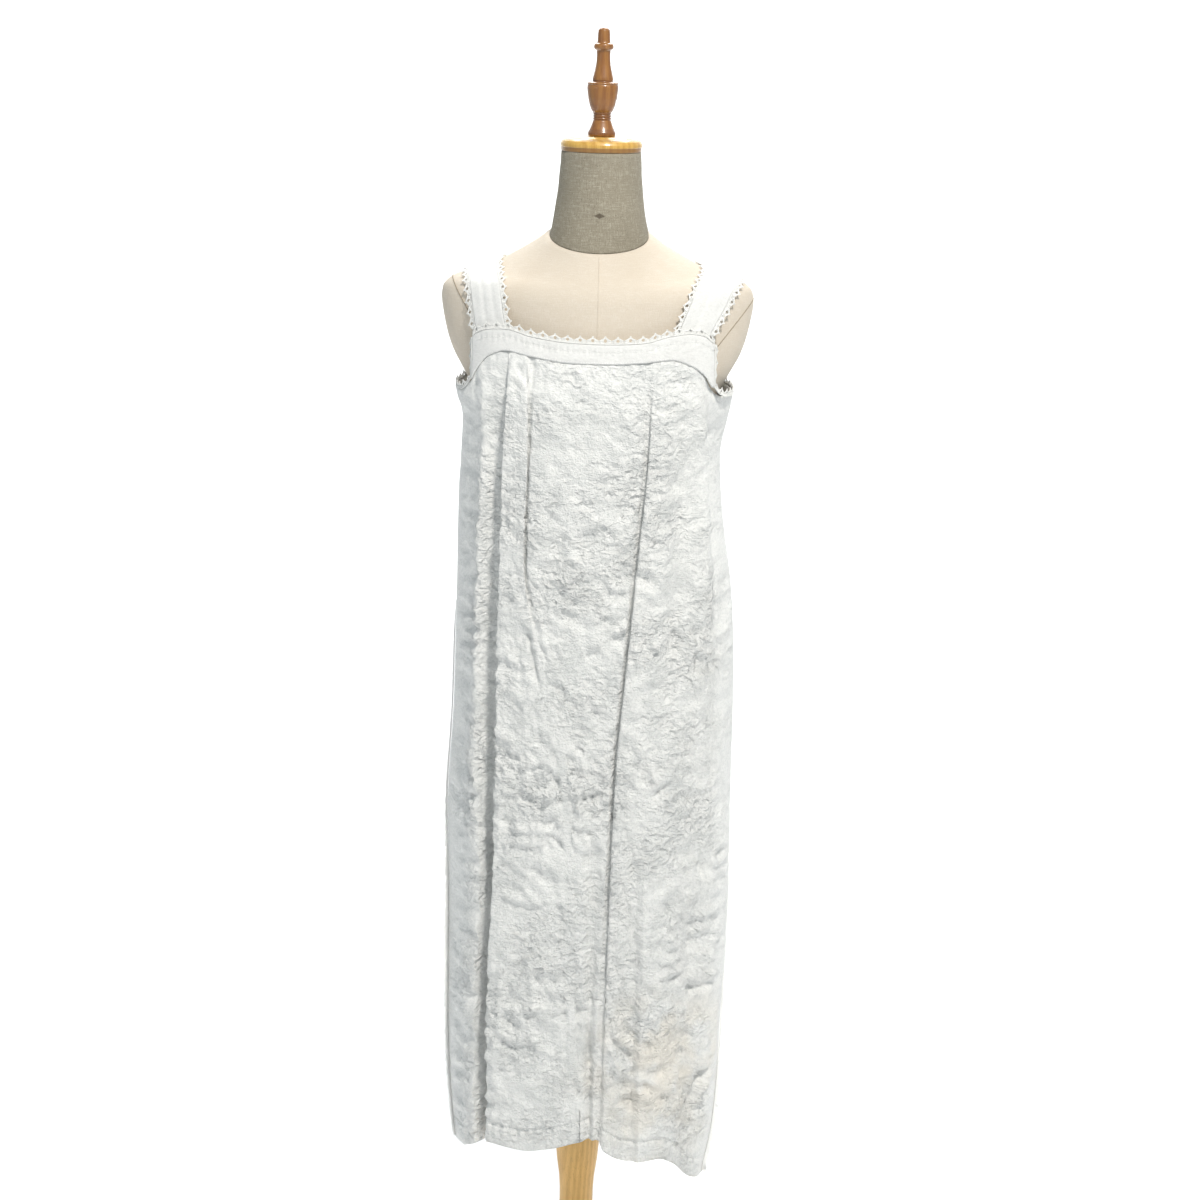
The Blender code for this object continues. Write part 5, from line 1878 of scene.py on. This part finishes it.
POST = table_of(
    Turning,
    (0.0, TORSO_BOTTOM - GAP), (0.0170, TORSO_BOTTOM - GAP), (0.0170, 0.5600), (0.0210, 0.5450), (0.0280, 0.5200),
    (0.0290, 0.4900), (0.0290, 0.2500), (0.0270, 0.2250), (0.0235, 0.2000), (0.0222, 0.1800), (0.0220, 0.1500),
    (0.0235, 0.1100), (0.0290, 0.0750), (0.0380, 0.0500), (0.0420, BASE_HEIGHT + GAP), (0.0, BASE_HEIGHT + GAP),
)

BASE = table_of(
    Turning,
    (0.0, BASE_HEIGHT), (0.1600, BASE_HEIGHT), (0.1650, 0.0292), (0.1670, 0.0272), (0.1880, 0.0262),
    (0.1970, 0.0210), (0.2000, 0.0140), (0.2000, 0.0040), (0.1960, 0.0), (0.0, 0.0),
)


@dataclass(frozen=True)
class Loft:
    """A closed body through level sections, smooth from one to the next."""

    name: str
    slot: str
    rings: tuple[Ring, ...]
    sides: int = 128
    fine: int = 4
    wrinkle: float = 0.0

    def points(self) -> Array:
        """Its points.

        Returns:
            A grid of them, ring by ring.
        """
        stations = tuple(float(k) for k in range(len(self.rings)))
        at = np.linspace(0.0, stations[-1], (len(self.rings) - 1) * self.fine + 1)
        height, half, front, back, power, tilt = (
            Curve(stations, tuple(getattr(ring, field) for ring in self.rings)).at(at)[:, None]
            for field in Ring._fields
        )
        turn = 2 * math.pi * np.arange(self.sides)[None] / self.sides
        x = half * signed(np.cos(turn), 2 / power)
        y = np.where(np.sin(turn) > 0, back, front) * signed(np.sin(turn), 2 / power)
        spots = np.stack([x, y, height + tilt * y], -1)
        if self.wrinkle:
            places = np.stack([turn * 0.05 + 0 * height, height + 0 * turn], -1)
            bend = np.stack([places[..., 0] * 22 + places[..., 1] * 14, places[..., 1] * 30], -1)
            ease = smooth_step(np.minimum(at, stations[-1] - at)[:, None] / 0.6)
            grow = self.wrinkle * noise_over(bend, 1.0, 4.4) * ease
            spots[..., :2] *= (1 + grow / half)[..., None]
        return spots

    def faces(self, count: int) -> list:
        """Its faces.

        Args:
            count: how many rings of points there are.

        Returns:
            The walls, then the two ends.
        """
        number = np.arange(count * self.sides).reshape(count, self.sides)
        ring = np.concatenate([number, number[:, :1]], 1)
        return [face[::-1] for face in quads_of(ring)] + [number[0].tolist(), number[-1, ::-1].tolist()]

    def build(self, material: Material) -> Thing:
        """Makes the body.

        Args:
            material: its finish.

        Returns:
            The object.
        """
        points = self.points()
        body = add_mesh(self.name + "_cover", points.reshape(-1, 3), self.faces(len(points)), material, tidy=True)
        return seat(body, self.slot, self.name)

    def tree(self) -> BVHTree:
        """Its surface, for casting rays."""
        points = self.points()
        return BVHTree.FromPolygons(points.reshape(-1, 3).tolist(), self.faces(len(points)))


@dataclass(frozen=True)
class Turned:
    """A turned piece, with its edges eased."""

    name: str
    slot: str
    profile: tuple[Turning, ...]
    sides: int = 96
    ease: float = 0.0005

    def eased(self) -> Array:
        """The profile with a small round at every corner.

        Returns:
            Radii and heights.
        """
        spots = np.array(self.profile)
        found = [spots[0]]
        for before, corner, after in zip(spots, spots[1:], spots[2:]):
            back, on = before - corner, after - corner
            start = corner + back * min(0.4, self.ease / np.linalg.norm(back))
            end = corner + on * min(0.4, self.ease / np.linalg.norm(on))
            found += [start, (start + 2 * corner + end) / 4, end]
        return np.array([*found, spots[-1]])

    def build(self, material: Material) -> Thing:
        """Makes the piece.

        Args:
            material: its finish.

        Returns:
            The object.
        """
        profile = self.eased()
        turn = 2 * math.pi * np.arange(self.sides + 1)[None] / self.sides
        radius, height = profile[:, :1], profile[:, 1:]
        spots = np.stack([radius * np.cos(turn), radius * np.sin(turn), height + 0 * turn], -1)
        spots[:, -1] = spots[:, 0]
        number = np.arange(len(profile) * (self.sides + 1)).reshape(len(profile), -1)
        piece = add_mesh(self.name + "_turned", spots.reshape(-1, 3), quads_of(number), material, tidy=True)
        return seat(piece, self.slot, self.name)


@dataclass(frozen=True)
class FormSeams:
    """The thin seams of the form's cover: one down the middle and one round each shoulder end."""

    body: BVHTree
    half: float = 0.0007
    middle_across: float = 0.001
    middle_heights: tuple[float, float] = (1.428, 1.10)
    loops: tuple[tuple[float, float, float, float], ...] = (
        (-0.1780, 1.392, -0.1450, 1.338),
        (0.1930, 1.376, 0.1450, 1.318),
    )

    def loop(self, x0: float, z0: float, x1: float, z1: float) -> Array:
        """The line in which a leaning plane cuts the form.

        Args:
            x0: how far across the upper end of the plane's lean lies.
            z0: that end's height.
            x1: how far across the lower end lies.
            z1: that end's height.

        Returns:
            Points round the form.
        """
        middle = np.array([(x0 + x1) / 2, 0.0, (z0 + z1) / 2])
        lean = unit(np.array([x0 - x1, 0.0, z0 - z1]))
        spots = []
        for turn in np.linspace(0.0, 2 * math.pi, 97):
            way = lean * math.cos(turn) + np.array([0.0, math.sin(turn), 0.0])
            hit = self.body.ray_cast(Vector(middle), Vector(way))[0]
            if hit:
                spots.append(list(hit))
        return np.array(spots)

    def build(self, dark: Material, pale: Material) -> list[Thing]:
        """Makes the seams.

        Args:
            dark: the finish of the seams round the shoulder ends.
            pale: the finish of the seam down the middle.

        Returns:
            The shoulder ends' seams, then the middle one.
        """
        rounds = Yarn()
        for loop in self.loops:
            side = np.array([math.copysign(1.0, loop[0]), 0.0, 0.0])
            rounds.add(self.loop(*loop)[None], side, self.half, self.half, 6)
        heights = np.linspace(*self.middle_heights, 60)
        starts = [Vector((self.middle_across, -0.4, height)) for height in heights]
        line = np.array([self.body.ray_cast(start, Vector((0.0, 1.0, 0.0)))[0] for start in starts])
        middle = Yarn()
        middle.add(line[None], np.array([0.0, -1.0, 0.0]), self.half, self.half * 0.7, 6)
        ends = seat(rounds.make("form_shoulder_seams", dark), "form_cover")
        return [ends, seat(middle.make("form_front_seam", pale), "form_cover")]


# --- Studio ---


class Lamp(NamedTuple):
    """A soft square lamp: its name, place and aim, its side in metres, its power in watts and its colour."""

    name: str
    spot: Place
    aim: Place
    size: float
    power: float
    colour: tuple[float, float, float]


LAMPS = table_of(
    Lamp,
    ("key", (0.90, -2.2, 4.2), (0.0, 0.0, 0.9), 0.45, 132.0, (1.0, 0.96, 0.90)),
    ("fill", (-2.6, -2.4, 1.6), (-0.1, 0.0, 0.7), 1.0, 4.0, (0.95, 0.98, 1.0)),
    ("back", (0.0, 3.3, 4.4), (0.0, 3.9, 0.0), 3.0, 260.0, (1.0, 1.0, 1.0)),
)


@dataclass(frozen=True)
class Studio:
    """The camera at the photograph's place, a pale floor that curves up behind, and soft light."""

    eye: Place = (0.012, -2.880, 1.696)
    down: float = 13.8
    roll: float = 1.44
    lens: float = 70.83
    floor_half: float = 6.0
    floor_back: float = 3.2
    curve: float = 1.2
    wall_top: float = 5.0
    sky: Colour = (0.87, 0.955, 1.0, 1.0)
    sky_strength: float = 0.41

    def camera(self) -> None:
        """Makes the camera."""
        data = bpy.data.cameras.new("camera")
        data.lens = self.lens
        data.sensor_width = 36.0
        camera = bpy.data.objects.new("camera", data)
        bpy.context.scene.collection.objects.link(camera)
        turn = Matrix.Rotation(math.radians(90 - self.down), 4, "X") @ Matrix.Rotation(math.radians(self.roll), 4, "Z")
        camera.matrix_world = Matrix.Translation(self.eye) @ turn
        bpy.context.scene.camera = camera

    def floor(self) -> None:
        """Makes the floor and the backdrop in one sweep."""
        turn = np.linspace(0.0, math.pi / 2, 25)
        wall = self.floor_back + self.curve
        y = np.concatenate([[-self.floor_half], self.floor_back + self.curve * np.sin(turn), [wall]])
        z = np.concatenate([[0.0], self.curve * (1 - np.cos(turn)), [self.wall_top]]) - 0.0005
        spots = np.stack([np.stack([np.full_like(y, x), y, z], -1) for x in (-self.floor_half, self.floor_half)], 1)
        number = np.arange(2 * len(y)).reshape(-1, 2)
        faces = [face[::-1] for face in quads_of(number)]
        add_mesh("floor_sweep", spots.reshape(-1, 3), faces, PaleFloor().material())

    def light(self) -> None:
        """Adds the lamps and the sky's even light."""
        for lamp in LAMPS:
            data = bpy.data.lights.new(lamp.name, "AREA")
            data.size = lamp.size
            data.energy = lamp.power
            data.color = lamp.colour
            thing = bpy.data.objects.new(lamp.name, data)
            thing.location = lamp.spot
            thing.rotation_euler = (Vector(lamp.aim) - Vector(lamp.spot)).to_track_quat("-Z", "Y").to_euler()
            bpy.context.scene.collection.objects.link(thing)
        world = bpy.data.worlds.new("soft light")
        world.use_nodes = True
        sky = world.node_tree.nodes["Background"]
        sky.inputs["Color"].default_value = self.sky
        sky.inputs["Strength"].default_value = self.sky_strength
        bpy.context.scene.world = world
        bpy.context.scene.view_settings.view_transform = "Standard"

    def build(self) -> None:
        """Sets the whole studio."""
        self.camera()
        self.floor()
        self.light()
        log.info("studio: camera, sweep and lamps")


@dataclass(frozen=True)
class Finishes:
    """Every finish, made once."""

    seam: Material
    linen: Material
    trim: Material
    crochet: Material
    thread: Material
    torso: Material
    neck: Material
    varnished: Material
    finial: Material
    oak: Material

    @classmethod
    def make(cls) -> "Finishes":
        """Makes them.

        Returns:
            All the finishes.
        """
        return cls(
            seam=FormLinen("form seam", (0.36, 0.30, 0.22, 1.0), (0.28, 0.23, 0.17, 1.0), (0.45, 0.38, 0.28, 1.0),
                           0.2).material(),
            linen=WashedLinen("dress linen").material(),
            trim=WashedLinen("trim linen", (0.82, 0.82, 0.805, 1.0), (0.70, 0.70, 0.685, 1.0), crumple=0.25).material(),
            crochet=TwistedCotton("crochet cotton", (0.88, 0.88, 0.86, 1.0), (0.74, 0.73, 0.70, 1.0)).material(),
            thread=TwistedCotton("sewing thread", (0.95, 0.95, 0.94, 1.0), (0.84, 0.85, 0.84, 1.0)).material(),
            torso=FormLinen("form cover", (0.69, 0.612, 0.51, 1.0), (0.54, 0.455, 0.35, 1.0), (0.75, 0.685, 0.60, 1.0),
                            0.35).material(),
            neck=FormLinen("neck cover", (0.325, 0.292, 0.225, 1.0), (0.15, 0.13, 0.095, 1.0), (0.50, 0.46, 0.37, 1.0),
                           0.75, (0.09, 0.07, 0.05, 1.0), (0.0, -0.05, 1.470)).material(),
            varnished=TurnedWood("varnished wood", (0.72, 0.45, 0.10, 1.0), (0.54, 0.28, 0.045, 1.0),
                                 (0.30, 0.12, 0.03, 1.0), 0.7, 0.18, 0.35, 700.0,
                                 ((1.5400, 1.5484), (1.5568, 1.5576))).material(),
            finial=TurnedWood("dark varnished wood", (0.34, 0.15, 0.035, 1.0), (0.23, 0.085, 0.018, 1.0),
                              (0.20, 0.07, 0.015, 1.0), 0.7, 0.18, 0.35, 700.0,
                              ((1.5795, 1.5890), (1.5628, 1.5690), (1.6240, 1.6262))).material(),
            oak=TurnedWood("oak", (0.80, 0.52, 0.19, 1.0), (0.64, 0.39, 0.13, 1.0), (0.32, 0.18, 0.06, 1.0),
                           0.15, 0.35, 0.45, 900.0).material(),
        )


def dress(finishes: Finishes, body: BVHTree) -> None:
    """Makes the whole dress.

    Args:
        finishes: the materials.
        body: the form's surface.
    """
    panels = {
        Side.FRONT: Panel(Side.FRONT, FRONT_CREASES, FRONT_WRINKLES, 0.0027, 0.0038, 1.3),
        Side.BACK: Panel(Side.BACK, BACK_CREASES, BACK_WRINKLES, 0.0036, 0.0050, 21.7),
    }
    fringes = [Fringe(hand).build(finishes.thread) for hand in Hand]
    bands = {side: Band(side, panel.band_span()) for side, panel in panels.items()}
    for side, band in bands.items():
        key = side.name.lower()
        Lace(f"lace_neck_{key}", band.trail(), 0.001).build(finishes.crochet)
    for hand in Hand:
        trail = armhole_trail(hand, panels[Side.FRONT], panels[Side.BACK])
        Lace(f"lace_armhole_{hand.value}", trail, 0.001).build(finishes.crochet)
    for side, panel in panels.items():
        made = panel.build(finishes.linen)
        sewn = HemStitches(panel, made).build(finishes.thread)
        band, stitches = bands[side].build(finishes.trim, finishes.thread)
    for hand in Hand:
        strap = Strap(hand, body)
        cloth = strap.build(finishes.trim)
        edges = [
            Lace(f"lace_strap_{hand.value}_outer", strap.trail(0.0, 1 / 3), 0.005).build(finishes.crochet),
            Lace(f"lace_strap_{hand.value}_inner", strap.trail(1.0, 2 / 3), 0.001).build(finishes.crochet),
        ]


def main() -> None:
    """Builds the whole scene in order."""
    logging.basicConfig(level=logging.INFO, format="%(name)s: %(message)s")
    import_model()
    finishes = Finishes.make()
    torso = Loft("form_torso", "form_cover", TORSO)
    torso.build(finishes.torso)
    body = torso.tree()
    FormSeams(body).build(finishes.seam, finishes.torso)
    Loft("form_neck", "neck_cover", NECK, sides=96, fine=8, wrinkle=0.0009).build(finishes.neck)
    Turned("neck_cap", "varnished_wood", CAP).build(finishes.varnished)
    Turned("finial", "varnished_wood", FINIAL, sides=64).build(finishes.finial)
    Turned("stand_post", "oak", POST, sides=64, ease=0.002).build(finishes.oak)
    Turned("stand_base", "oak", BASE, sides=128, ease=0.001).build(finishes.oak)
    dress(finishes, body)
    Studio().build()


if __name__ == "__main__":
    main()
